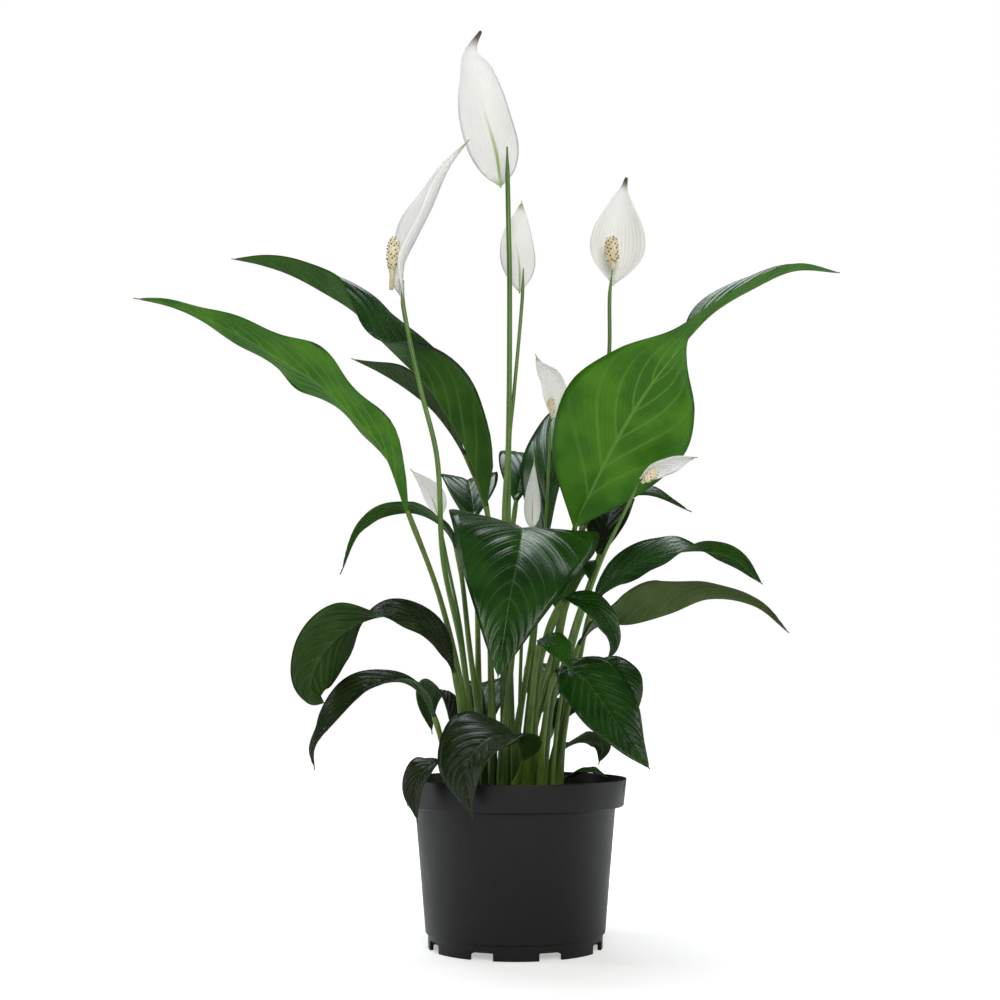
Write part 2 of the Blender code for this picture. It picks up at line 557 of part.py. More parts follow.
def section(half_width, rib, thickness, fold, cup):
    """Eight (across, up) points round a stalk (half_width = rib) or a blade, clockwise."""
    points = []
    blend = min(1, max(0, (half_width - rib) / (3 * rib)))
    fold = min(fold, math.atan(half_width / (2 * thickness)))
    for index in range(8):
        turn = math.radians(180 - 45 * index)
        along = (-1, -0.5, 0, 0.5, 1, 0.5, 0, -0.5)[index]
        lift = (0, 1, 1, 1, 0, -1, -1, -1)[index]
        half = thickness / 2
        if along == 0 and lift < 0:
            half = max(half, rib)
        reach = abs(along)
        slope = fold + cup * reach / 2
        across = math.copysign(half_width * reach * math.cos(slope), along)
        up = half_width * reach * math.sin(slope)
        slope_end = fold + cup * reach
        across -= math.copysign(1, along) * lift * half * math.sin(slope_end) * reach
        up += lift * half * math.cos(slope_end)
        round_across = rib * math.cos(turn)
        round_up = rib * math.sin(turn)
        points.append(
            (
                round_across * (1 - blend) + across * blend,
                round_up * (1 - blend) + up * blend,
            )
        )
    return points


def leaf_rings(spec, stalk_radius, thickness, stalk_rings, blade_rings):
    """The rings of eight points of a leaf or a spathe, from its foot to its tip."""
    line = smooth_line(spec["spine"], upright=stalk_rings > 0)
    lengths = running_lengths(line)
    start = lengths[spec["blade_from"] * (CURVE_STEPS - 1)] / lengths[-1]
    heading = math.radians(spec["heading"])
    level = Vector((-math.sin(heading), math.cos(heading), 0))
    shares = [start * i / stalk_rings for i in range(stalk_rings)]
    shares += [start + (1 - start) * i / blade_rings for i in range(blade_rings + 1)]
    rings = []
    for share in shares:
        place = max(0, (share - start) / (1 - start))
        centre, way = place_on(line, lengths, share)
        across = (level - way * level.dot(way)).normalized()
        up = way.cross(across)
        roll = math.radians(between(spec["roll"], place))
        across, up = (
            across * math.cos(roll) + up * math.sin(roll),
            up * math.cos(roll) - across * math.sin(roll),
        )
        rib = stalk_radius * (1 - place) * (1 - 0.25 * share) + TIP_RADIUS * place
        width = spec["width"] / 2 * blade_share(place, spec)
        outline = section(
            max(width, rib),
            rib,
            thickness,
            math.radians(between(spec.get("fold", (0,)), place)),
            math.radians(spec.get("cup", 0)),
        )
        rings.append([centre + across * x + up * y for x, y in outline])
    return rings


def loft(name, rings, collection, color, roughness):
    """A closed solid through rings of as many points each.

    The two halves of a ring are joined along the same diagonals, so that a twisted blade
    keeps its thickness.
    """
    shape = bmesh.new()
    rows = [[shape.verts.new(point) for point in ring] for ring in rings]
    count = len(rows[0])
    for row, following in zip(rows, rows[1:]):
        for i in range(count):
            j = (i + 1) % count
            if i < count / 2:
                shape.faces.new((row[i], following[i], following[j]))
                shape.faces.new((row[i], following[j], row[j]))
            else:
                shape.faces.new((row[i], following[i], row[j]))
                shape.faces.new((following[i], following[j], row[j]))
    shape.faces.new(rows[0])
    shape.faces.new(rows[-1][::-1])
    mesh = bpy.data.meshes.new(name)
    shape.to_mesh(mesh)
    shape.free()
    mesh.shade_smooth()
    return add_object(name, mesh, collection, color, roughness)


def tube(name, points, radii, collection, color, roughness):
    """A round bar through the points, as thick at each as its radius."""
    curve = bpy.data.curves.new(name, "CURVE")
    curve.dimensions = "3D"
    curve.bevel_depth = 1
    curve.bevel_resolution = 2
    curve.use_fill_caps = True
    spline = curve.splines.new("POLY")
    spline.points.add(len(points) - 1)
    for place, point, radius in zip(spline.points, points, radii):
        place.co = (*point, 1)
        place.radius = radius
    return add_object(name, curve, collection, color, roughness)


def build_leaf(name, spec, collection):
    spine = list(spec["spine"])
    spine[0] = (spine[0][0], spine[0][1], GAP)
    rings = leaf_rings(
        dict(spec, spine=spine),
        spec.get("stalk", PETIOLE_RADIUS),
        BLADE_THICKNESS,
        PETIOLE_RINGS,
        BLADE_RINGS,
    )
    loft(name, rings, collection, LEAF_TONES[spec["tone"]], 0.35)


def build_stem(name, spec, collection):
    spine = list(spec["stem"])
    spine[0] = (spine[0][0], spine[0][1], GAP)
    line = smooth_line(spine, upright=True)
    lengths = running_lengths(line)
    shares = [i / (STEM_POINTS - 1) for i in range(STEM_POINTS)]
    points = [place_on(line, lengths, share)[0] for share in shares]
    radii = [spec["radius"] * (1.1 - 0.25 * share) for share in shares]
    tube(name, points, radii, collection, STEM_GREEN, 0.45)


def build_spathe(name, spec, collection):
    spathe = dict(spec["spathe"], blade_from=0)
    rings = leaf_rings(spathe, SPATHE_THICKNESS, SPATHE_THICKNESS, 0, BLADE_RINGS)
    loft(name, rings, collection, SPATHE_WHITE, 0.5)


def build_spadix(name, spec, collection):
    stalk_end, foot, top = [Vector(point) for point in spec["spadix"]]
    radius = spec["spadix_radius"]
    points = [stalk_end + Vector((0, 0, MIX_TOP))]
    radii = [spec["radius"] * 0.7]
    for place, share in ((0, 0.72), (0.12, 0.95), (0.45, 1), (0.8, 0.86), (0.94, 0.6), (1, 0.2)):
        points.append(foot.lerp(top, place) + Vector((0, 0, MIX_TOP)))
        radii.append(radius * share)
    tube(name, points, radii, collection, SPADIX_CREAM, 0.8)


def main():
    clear_scene()
    lily = new_collection("potted_peace_lily")
    cutters = new_collection("cutters")
    build_pot(lily, cutters)
    build_potting_mix(lily)
    for name, spec in LEAVES.items():
        build_leaf(name, spec, lily)
    for name, spec in FLOWERS.items():
        build_stem("stem_" + name, spec, lily)
        build_spathe("spathe_" + name, spec, lily)
        if spec["spadix"]:
            build_spadix("spadix_" + name, spec, lily)


main()
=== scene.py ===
import math
import random

import bmesh
import bpy
import numpy as np
from mathutils import Matrix, Vector, geometry, noise


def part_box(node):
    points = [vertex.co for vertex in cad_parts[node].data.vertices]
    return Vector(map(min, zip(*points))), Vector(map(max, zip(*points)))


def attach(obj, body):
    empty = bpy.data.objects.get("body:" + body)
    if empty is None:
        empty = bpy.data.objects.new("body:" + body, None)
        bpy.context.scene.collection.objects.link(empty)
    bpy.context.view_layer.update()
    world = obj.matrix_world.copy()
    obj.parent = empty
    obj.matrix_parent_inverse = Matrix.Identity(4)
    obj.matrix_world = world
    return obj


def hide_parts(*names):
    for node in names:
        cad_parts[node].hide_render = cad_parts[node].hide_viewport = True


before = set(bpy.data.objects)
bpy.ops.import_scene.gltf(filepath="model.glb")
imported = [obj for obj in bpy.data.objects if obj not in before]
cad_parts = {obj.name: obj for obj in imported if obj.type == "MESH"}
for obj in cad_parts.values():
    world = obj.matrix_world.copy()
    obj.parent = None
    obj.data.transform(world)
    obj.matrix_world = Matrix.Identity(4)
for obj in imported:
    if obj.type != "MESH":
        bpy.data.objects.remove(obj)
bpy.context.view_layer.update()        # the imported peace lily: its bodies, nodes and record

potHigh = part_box("pot")[1]
rimRadius = potHigh.x
potHeight = potHigh.z
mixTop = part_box("potting_mix")[1].z
soil = Vector((0, 0, mixTop))        # the plant's own points are measured from here
print("frame loaded, pot", round(potHeight, 4), "m high")


def camel(nodeName):
    first, *rest = nodeName.split("_")
    return first + "".join(word.capitalize() for word in rest)


def fromRim(angle, outward, above):        # a point of the plant that clears the pot's rim
    radius = rimRadius + outward
    turn = math.radians(angle)
    return (radius * math.cos(turn), radius * math.sin(turn), potHeight - mixTop + above)


def meshObject(name, vertices, faces, materials, nodes=()):
    mesh = bpy.data.meshes.new(name)
    mesh.from_pydata([tuple(v) for v in vertices], [], faces)
    for material in materials:
        mesh.materials.append(material)
    mesh.update()
    mesh.shade_smooth()
    return finishPiece(bpy.data.objects.new(name, mesh), nodes)


def finishPiece(piece, nodes=()):
    if piece.name not in bpy.context.scene.collection.all_objects:
        bpy.context.scene.collection.objects.link(piece)
    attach(piece, "root")
    if nodes:
        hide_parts(*nodes)
    return piece


def smoothStep(low, high, value):
    part = np.clip((value - low) / (high - low), 0, 1)
    return part * part * (3 - 2 * part)


def addNode(tree, kind, **settings):
    node = tree.nodes.new(kind)
    for key, value in settings.items():
        if key in node.inputs:
            node.inputs[key].default_value = value
        else:
            setattr(node, key, value)
    return node


def wire(tree, value, socket):        # a socket is linked, and a number or colour is set
    if isinstance(value, bpy.types.NodeSocket):
        tree.links.new(value, socket)
    else:
        socket.default_value = value


def maths(tree, operation, *values):
    node = addNode(tree, "ShaderNodeMath", operation=operation)
    for value, socket in zip(values, node.inputs):
        wire(tree, value, socket)
    return node.outputs[0]


def mixColour(tree, share, first, second):
    node = addNode(tree, "ShaderNodeMix", data_type="RGBA")
    wire(tree, share, node.inputs["Factor"])
    wire(tree, first, node.inputs[6])
    wire(tree, second, node.inputs[7])
    return node.outputs[2]


def ramp(tree, value, low, high, fromLow=0.0, fromHigh=1.0):
    node = addNode(tree, "ShaderNodeMapRange", interpolation_type="SMOOTHSTEP")
    for key, number in zip(("Value", "From Min", "From Max", "To Min", "To Max"),
                           (value, fromLow, fromHigh, low, high)):
        wire(tree, number, node.inputs[key])
    return node.outputs["Result"]


def newGroup(name, inputs, outputs):
    group = bpy.data.node_groups.new(name, "ShaderNodeTree")
    for label, value in inputs.items():
        socket = group.interface.new_socket(label, in_out="INPUT", socket_type="NodeSocketFloat")
        socket.default_value = value
    for label in outputs:
        group.interface.new_socket(label, in_out="OUTPUT", socket_type="NodeSocketFloat")
    start = group.nodes.new("NodeGroupInput")
    end = group.nodes.new("NodeGroupOutput")
    return group, start.outputs, end.inputs


def useGroup(tree, group, **values):
    node = tree.nodes.new("ShaderNodeGroup")
    node.node_tree = group
    for label, value in values.items():
        wire(tree, value, node.inputs[label])
    return node.outputs


def newMaterial(name, **shaderValues):
    material = bpy.data.materials.new(name)
    material.use_nodes = True
    tree = material.node_tree
    shader = tree.nodes["Principled BSDF"]
    for label, value in shaderValues.items():
        shader.inputs[label].default_value = value
    return material, tree, shader.inputs


def addBump(tree, height, strength, distance):
    bump = addNode(tree, "ShaderNodeBump", Strength=strength, Distance=distance)
    wire(tree, height, bump.inputs["Height"])
    return bump.outputs["Normal"]


def buildVeinGroup():        # side veins follow the blade map's length, the midrib its middle
    group, start, end = newGroup(
        "bladeVeins",
        {"Veins": 13, "Vein Width": 0.16, "Rib Width": 0.05},
        ("Vein", "Fine Vein", "Rib", "Margin"),
    )
    place = addNode(group, "ShaderNodeUVMap", uv_map="bladeMap")
    split = addNode(group, "ShaderNodeSeparateXYZ")
    group.links.new(place.outputs["UV"], split.inputs[0])
    along = split.outputs["X"]
    aside = maths(group, "ABSOLUTE", maths(group, "MULTIPLY_ADD", split.outputs["Y"], 2.0, -1.0))

    def stripes(count, width):
        turns = maths(group, "FRACT", maths(group, "MULTIPLY", along, count))
        gap = maths(group, "ABSOLUTE", maths(group, "SUBTRACT", turns, 0.5))
        near = maths(group, "SUBTRACT", 0.5, gap)
        return ramp(group, near, 1.0, 0.0, 0.0, width)

    fade = maths(group, "MULTIPLY", ramp(group, aside, 1.0, 0.25, 0.25, 0.97),
                 ramp(group, along, 0.2, 1.0, 0.0, 0.12))
    wire(group, maths(group, "MULTIPLY", stripes(start["Veins"], start["Vein Width"]), fade), end["Vein"])
    fineCount = maths(group, "MULTIPLY", start["Veins"], 4.0)
    wire(group, maths(group, "MULTIPLY", stripes(fineCount, 0.3), fade), end["Fine Vein"])
    narrowing = maths(group, "MULTIPLY", start["Rib Width"], ramp(group, along, 1.0, 0.35, 0.0, 1.0))
    wire(group, ramp(group, aside, 1.0, 0.0, 0.0, narrowing), end["Rib"])
    wire(group, ramp(group, aside, 0.0, 1.0, 0.9, 1.0), end["Margin"])
    return group


def buildMottleGroup():        # soft blotches and fine specks
    group, start, end = newGroup("mottle", {"Scale": 30, "Speck Scale": 900}, ("Blotch", "Speck"))
    place = addNode(group, "ShaderNodeTexCoord").outputs["Object"]
    for label, detail, scale, low, high in (
        ("Blotch", 3.0, start["Scale"], 0.35, 0.68),
        ("Speck", 2.0, start["Speck Scale"], 0.30, 0.75),
    ):
        noise = addNode(group, "ShaderNodeTexNoise", Detail=detail)
        group.links.new(place, noise.inputs["Vector"])
        wire(group, scale, noise.inputs["Scale"])
        wire(group, ramp(group, noise.outputs["Fac"], 0.0, 1.0, low, high), end[label])
    return group


def buildGrainGroup():        # lengthwise streaks in stalks, at an object's own height
    group, start, end = newGroup("stalkGrain", {"Scale": 260, "Stretch": 0.04}, ("Streak",))
    place = addNode(group, "ShaderNodeTexCoord").outputs["Object"]
    mapping = addNode(group, "ShaderNodeMapping")
    group.links.new(place, mapping.inputs["Vector"])
    stretch = addNode(group, "ShaderNodeCombineXYZ", X=1.0, Y=1.0)
    group.links.new(start["Stretch"], stretch.inputs["Z"])
    group.links.new(stretch.outputs[0], mapping.inputs["Scale"])
    noise = addNode(group, "ShaderNodeTexNoise", Detail=2.0)
    group.links.new(mapping.outputs[0], noise.inputs["Vector"])
    wire(group, start["Scale"], noise.inputs["Scale"])
    wire(group, ramp(group, noise.outputs["Fac"], 0.0, 1.0, 0.3, 0.7), end["Streak"])
    return group


bladeVeins = buildVeinGroup()
mottle = buildMottleGroup()
stalkGrain = buildGrainGroup()


leafTones = {
    "fresh": {
        "top": (0.010, 0.062, 0.004, 1), "topLight": (0.030, 0.120, 0.008, 1),
        "topVein": (0.075, 0.200, 0.016, 1), "topRough": 0.30, "topGloss": 0.36,
        "under": (0.028, 0.126, 0.003, 1), "underLight": (0.060, 0.200, 0.007, 1),
        "underVein": (0.120, 0.260, 0.032, 1), "underRough": 0.52,
    },
    "deep": {
        "top": (0.005, 0.030, 0.002, 1), "topLight": (0.014, 0.062, 0.005, 1),
        "topVein": (0.035, 0.095, 0.014, 1), "topRough": 0.24, "topGloss": 0.36,
        "under": (0.014, 0.062, 0.002, 1), "underLight": (0.030, 0.100, 0.005, 1),
        "underVein": (0.060, 0.140, 0.022, 1), "underRough": 0.50,
    },
    "dusky": {
        "top": (0.007, 0.015, 0.004, 1), "topLight": (0.018, 0.032, 0.008, 1),
        "topVein": (0.040, 0.058, 0.016, 1), "topRough": 0.25, "topGloss": 0.24,
        "under": (0.014, 0.044, 0.004, 1), "underLight": (0.030, 0.072, 0.010, 1),
        "underVein": (0.060, 0.095, 0.026, 1), "underRough": 0.52,
    },
    "pale": {
        "top": (0.009, 0.014, 0.004, 1), "topLight": (0.020, 0.030, 0.008, 1),
        "topVein": (0.040, 0.058, 0.016, 1), "topRough": 0.25, "topGloss": 0.24,
        "under": (0.044, 0.078, 0.018, 1), "underLight": (0.070, 0.112, 0.032, 1),
        "underVein": (0.085, 0.125, 0.045, 1), "underRough": 0.52,
    },
}
stalkTones = {
    "petiole": {"dark": (0.045, 0.100, 0.008, 1), "light": (0.150, 0.250, 0.030, 1)},
    "flowerStalk": {"dark": (0.060, 0.150, 0.016, 1), "light": (0.150, 0.280, 0.050, 1)},
}


def bladeMaterial(name, base, light, vein, rough, gloss, veinShare, veinDepth):
    material, tree, sockets = newMaterial(name)
    sockets["Specular IOR Level"].default_value = gloss
    veins = useGroup(tree, bladeVeins)
    patches = useGroup(tree, mottle, Scale=34.0)
    colour = mixColour(tree, patches["Blotch"], base, light)
    veinMask = maths(tree, "MULTIPLY", veins["Vein"], veinShare)
    colour = mixColour(tree, veinMask, colour, vein)
    colour = mixColour(tree, maths(tree, "MULTIPLY", veins["Fine Vein"], 0.14), colour, vein)
    colour = mixColour(tree, veins["Rib"], colour, vein)
    colour = mixColour(tree, maths(tree, "MULTIPLY", veins["Margin"], 0.5), colour, light)
    wire(tree, colour, sockets["Base Color"])
    roughness = maths(tree, "MULTIPLY_ADD", patches["Speck"], 0.10, rough - 0.05)
    wire(tree, maths(tree, "MULTIPLY_ADD", veins["Vein"], 0.10, roughness), sockets["Roughness"])
    relief = maths(tree, "MULTIPLY_ADD", veins["Fine Vein"], 0.35, veins["Vein"])
    relief = maths(tree, "MULTIPLY_ADD", patches["Speck"], 0.12, relief)
    wire(tree, addBump(tree, relief, 0.5, veinDepth), sockets["Normal"])
    return material


def stalkMaterial(name, tone):
    material, tree, sockets = newMaterial(name)
    streak = useGroup(tree, stalkGrain)["Streak"]
    patches = useGroup(tree, mottle, Scale=22.0)
    share = maths(tree, "MULTIPLY_ADD", patches["Blotch"], 0.55, maths(tree, "MULTIPLY", streak, 0.45))
    wire(tree, mixColour(tree, share, tone["dark"], tone["light"]), sockets["Base Color"])
    wire(tree, maths(tree, "MULTIPLY_ADD", streak, 0.12, 0.34), sockets["Roughness"])
    wire(tree, addBump(tree, streak, 0.35, 0.0003), sockets["Normal"])
    return material


leafMaterials = {}
stalks = {name: stalkMaterial(name, tone) for name, tone in stalkTones.items()}
for toneName, tone in leafTones.items():
    leafMaterials[toneName] = (
        bladeMaterial("leafTop" + toneName.capitalize(), tone["top"], tone["topLight"],
                      tone["topVein"], tone["topRough"], tone["topGloss"], 0.45, -0.0004),
        bladeMaterial("leafUnder" + toneName.capitalize(), tone["under"], tone["underLight"],
                      tone["underVein"], tone["underRough"], 0.20, 0.60, 0.0004),
        stalks["petiole"],
    )
print("leaf materials made")


lineSteps = 24        # points from one given point of a smooth line to the next, both ends counted


def smoothLine(points, upright):        # a smooth curve through the points
    knots = [Vector(point) + soil for point in points]
    ends = [knots[0]] + knots + [knots[-1]]
    ways = [(after - before).normalized() for before, after in zip(ends, ends[2:])]
    if upright:
        ways[0] = Vector((0, 0, 1))
    line = []
    for start, end, leave, arrive in zip(knots, knots[1:], ways, ways[1:]):
        reach = (end - start).length / 3
        line += geometry.interpolate_bezier(
            start, start + leave * reach, end - arrive * reach, end, lineSteps
        )[:-1]
    return np.array(line + [knots[-1]])


def runningLength(line):
    return np.concatenate([[0], np.cumsum(np.linalg.norm(np.diff(line, axis=0), axis=1))])


def unit(rows):
    return rows / np.linalg.norm(rows, axis=1, keepdims=True)


def through(values, place):        # a smooth curve through evenly spaced values
    values = np.asarray(values, float)
    if len(values) == 1:
        return np.full_like(place, values[0])
    scaled = np.clip(place, 0, 1) * (len(values) - 1)
    index = np.minimum(scaled.astype(int), len(values) - 2)
    part = scaled - index
    padded = np.concatenate([[2 * values[0] - values[1]], values, [2 * values[-1] - values[-2]]])
    before, start, end, after = (padded[index + i] for i in range(4))
    slopeStart, slopeEnd = (end - before) / 2, (after - start) / 2
    square, cube = part ** 2, part ** 3
    return ((2 * cube - 3 * square + 1) * start + (cube - 2 * square + part) * slopeStart
            + (3 * square - 2 * cube) * end + (cube - square) * slopeEnd)


def halfShare(place, shape):        # half the blade's width from its start to its tip
    if "widths" in shape:
        return np.maximum(through(shape["widths"], place), 0)
    belly = shape.get("belly", 0.4)
    fullness = shape.get("fullness", 2.3)
    place = np.clip(place, 0, 1)
    rise = (place / belly) ** (fullness * belly)
    return rise * ((1 - place) / (1 - belly)) ** (fullness * (1 - belly))


bladeBuild = {
    "halfColumns": 11, "stalkRows": 26, "rowsPerVein": 9, "columnEase": 1.5,
    "sweep": 0.90, "sweepPower": 1.08, "tipRadius": 0.0004, "tableSteps": 420,
}


def spineTable(shape, upright):        # a blade's line, and the ways across it and up from it
    line = smoothLine(shape["spine"], upright)
    lengths = runningLength(line)
    total = lengths[-1]
    start = lengths[shape.get("bladeFrom", 0) * (lineSteps - 1)] / total
    shares = np.linspace(0, 1, bladeBuild["tableSteps"])
    centre = np.stack([np.interp(shares * total, lengths, line[:, i]) for i in range(3)], 1)
    way = unit(np.gradient(centre, axis=0))
    heading = math.radians(shape["heading"])
    level = np.array([-math.sin(heading), math.cos(heading), 0])
    across = unit(level - way * (way @ level)[:, None])
    up = np.cross(way, across)
    place = np.clip((shares - start) / (1 - start), 0, 1)
    roll = np.radians(through(shape["roll"], place))[:, None]
    rolledAcross = across * np.cos(roll) + up * np.sin(roll)
    rolledUp = up * np.cos(roll) - across * np.sin(roll)
    return {"start": start, "shares": shares, "centre": centre, "across": rolledAcross, "up": rolledUp}


def lookUp(table, key, share):
    return np.stack([np.interp(share, table["shares"], table[key][:, i]) for i in range(3)], -1)


def bladePiece(nodeName, shape, materials, stalkRadius, thickness):
    build = bladeBuild
    hasStalk = shape.get("bladeFrom", 0) > 0
    table = spineTable(shape, hasStalk)
    start = table["start"]
    half = build["halfColumns"]
    veins = shape.get("veins", 12)
    stalkRows = build["stalkRows"] if hasStalk else 0
    rowCount = int(veins * build["rowsPerVein"])
    rows = np.concatenate([
        np.linspace(-1, 0, stalkRows, endpoint=False),
        np.linspace(0, 1, rowCount + 1),
    ])

    top = np.arange(-half, half + 1)
    columns = np.concatenate([top, np.arange(half - 1, -half, -1)])
    lift = np.concatenate([np.ones(len(top)), -np.ones(len(columns) - len(top))])
    lift[[0, len(top) - 1]] = 0
    side = np.sign(columns) * (np.abs(columns) / half) ** build["columnEase"]
    turn = math.pi * (1 - 2 * np.arange(len(columns)) / len(columns))

    row, aside = np.meshgrid(rows, side, indexing="ij")
    reach = np.abs(aside)
    sweep = shape.get("sweep", build["sweep"])
    along = np.clip(row, 0, 1)
    place = along + sweep * np.sqrt(along) * (1 - along) * 0.9 * reach ** build["sweepPower"]
    share = np.where(row < 0, start * (1 + row), start + (1 - start) * place)

    stalkShare = np.clip(share / max(start, 0.001), 0, 1)
    rib = stalkRadius * (1 - place) * (1.25 - 0.4 * stalkShare) + build["tipRadius"] * place
    if hasStalk:
        knee = np.exp(-((share - start + 0.03) / 0.025) ** 2)
        sheath = smoothStep(0.55, 0.1, stalkShare)
        rib = rib * (1 + 0.22 * knee + shape.get("sheath", 0.45) * sheath)
    sides = shape.get("sides", (1, 1))
    sideShare = np.where(aside < 0, sides[0], sides[1])
    width = shape["width"] / 2 * halfShare(place, shape) * sideShare
    width = np.where(row < 0, 0, width)
    blend = smoothStep(0, 1, (width - rib) / (3 * rib))
    width = np.maximum(width, rib)

    fold = np.radians(through(np.atleast_1d(shape.get("fold", 0)), place))
    fold = np.minimum(fold, np.arctan(width / (2 * thickness)))
    cup = np.radians(through(np.atleast_1d(shape.get("cup", 0)), place))
    slope = fold + cup * reach / 2
    endSlope = fold + cup * reach
    x = width * aside * np.cos(slope)
    y = width * reach * np.sin(slope)

    waveHeight, waveCount, wavePhase = shape.get("wave", (0.05, 3, 0.2))
    swell = np.sin(2 * math.pi * (place * waveCount + wavePhase + 0.21 * np.sign(aside)))
    y += width * waveHeight * reach ** 2 * swell * np.sin(math.pi * place) ** 0.5

    pillow = 0.5 - 0.5 * np.cos(2 * math.pi * along * veins)
    pillow = pillow ** 0.7 * smoothStep(0, 0.16, reach) * (1 - reach ** 3)
    y += shape.get("quilt", 0.0007) * pillow * smoothStep(0, 0.15, along) * smoothStep(1, 0.8, along)
    groove = np.exp(-((x / (rib + 0.0004)) ** 2))
    halfThick = thickness / 2
    drop = np.where(lift < 0, np.maximum(rib * 1.1 - halfThick, 0) * groove, 0)
    notch = np.where(lift > 0, 0.35 * rib * groove, 0)
    y += lift * halfThick * np.cos(endSlope) - drop - notch
    x -= np.sign(aside) * lift * halfThick * np.sin(endSlope) * smoothStep(0, 0.3, reach)

    x = x * blend + rib * np.cos(turn) * (1 - blend)
    y = y * blend + rib * np.sin(turn) * (1 - blend)
    points = (lookUp(table, "centre", share) + lookUp(table, "across", share) * x[..., None]
              + lookUp(table, "up", share) * y[..., None])

    ring = len(columns)
    faces, slots = [], []
    for i in range(len(rows) - 1):
        for j in range(ring):
            k = (j + 1) % ring
            faces.append((i * ring + j, (i + 1) * ring + j, (i + 1) * ring + k, i * ring + k))
            slots.append(2 if rows[i] < 0 and len(materials) > 2 else int(j >= len(top) - 1))
    faces.append(tuple(range(ring)))
    faces.append(tuple(range(len(rows) * ring - 1, (len(rows) - 1) * ring - 1, -1)))
    slots += [len(materials) - 1, 0]

    piece = meshObject(camel(nodeName), points.reshape(-1, 3), faces, materials, (nodeName,))
    mesh = piece.data
    mesh.polygons.foreach_set("material_index", slots)
    spots = np.stack([along, aside * 0.5 + 0.5], -1).reshape(-1, 2)
    corners = np.empty(len(mesh.loops), int)
    mesh.loops.foreach_get("vertex_index", corners)
    mesh.uv_layers.new(name="bladeMap").data.foreach_set("uv", spots[corners].ravel())
    return piece


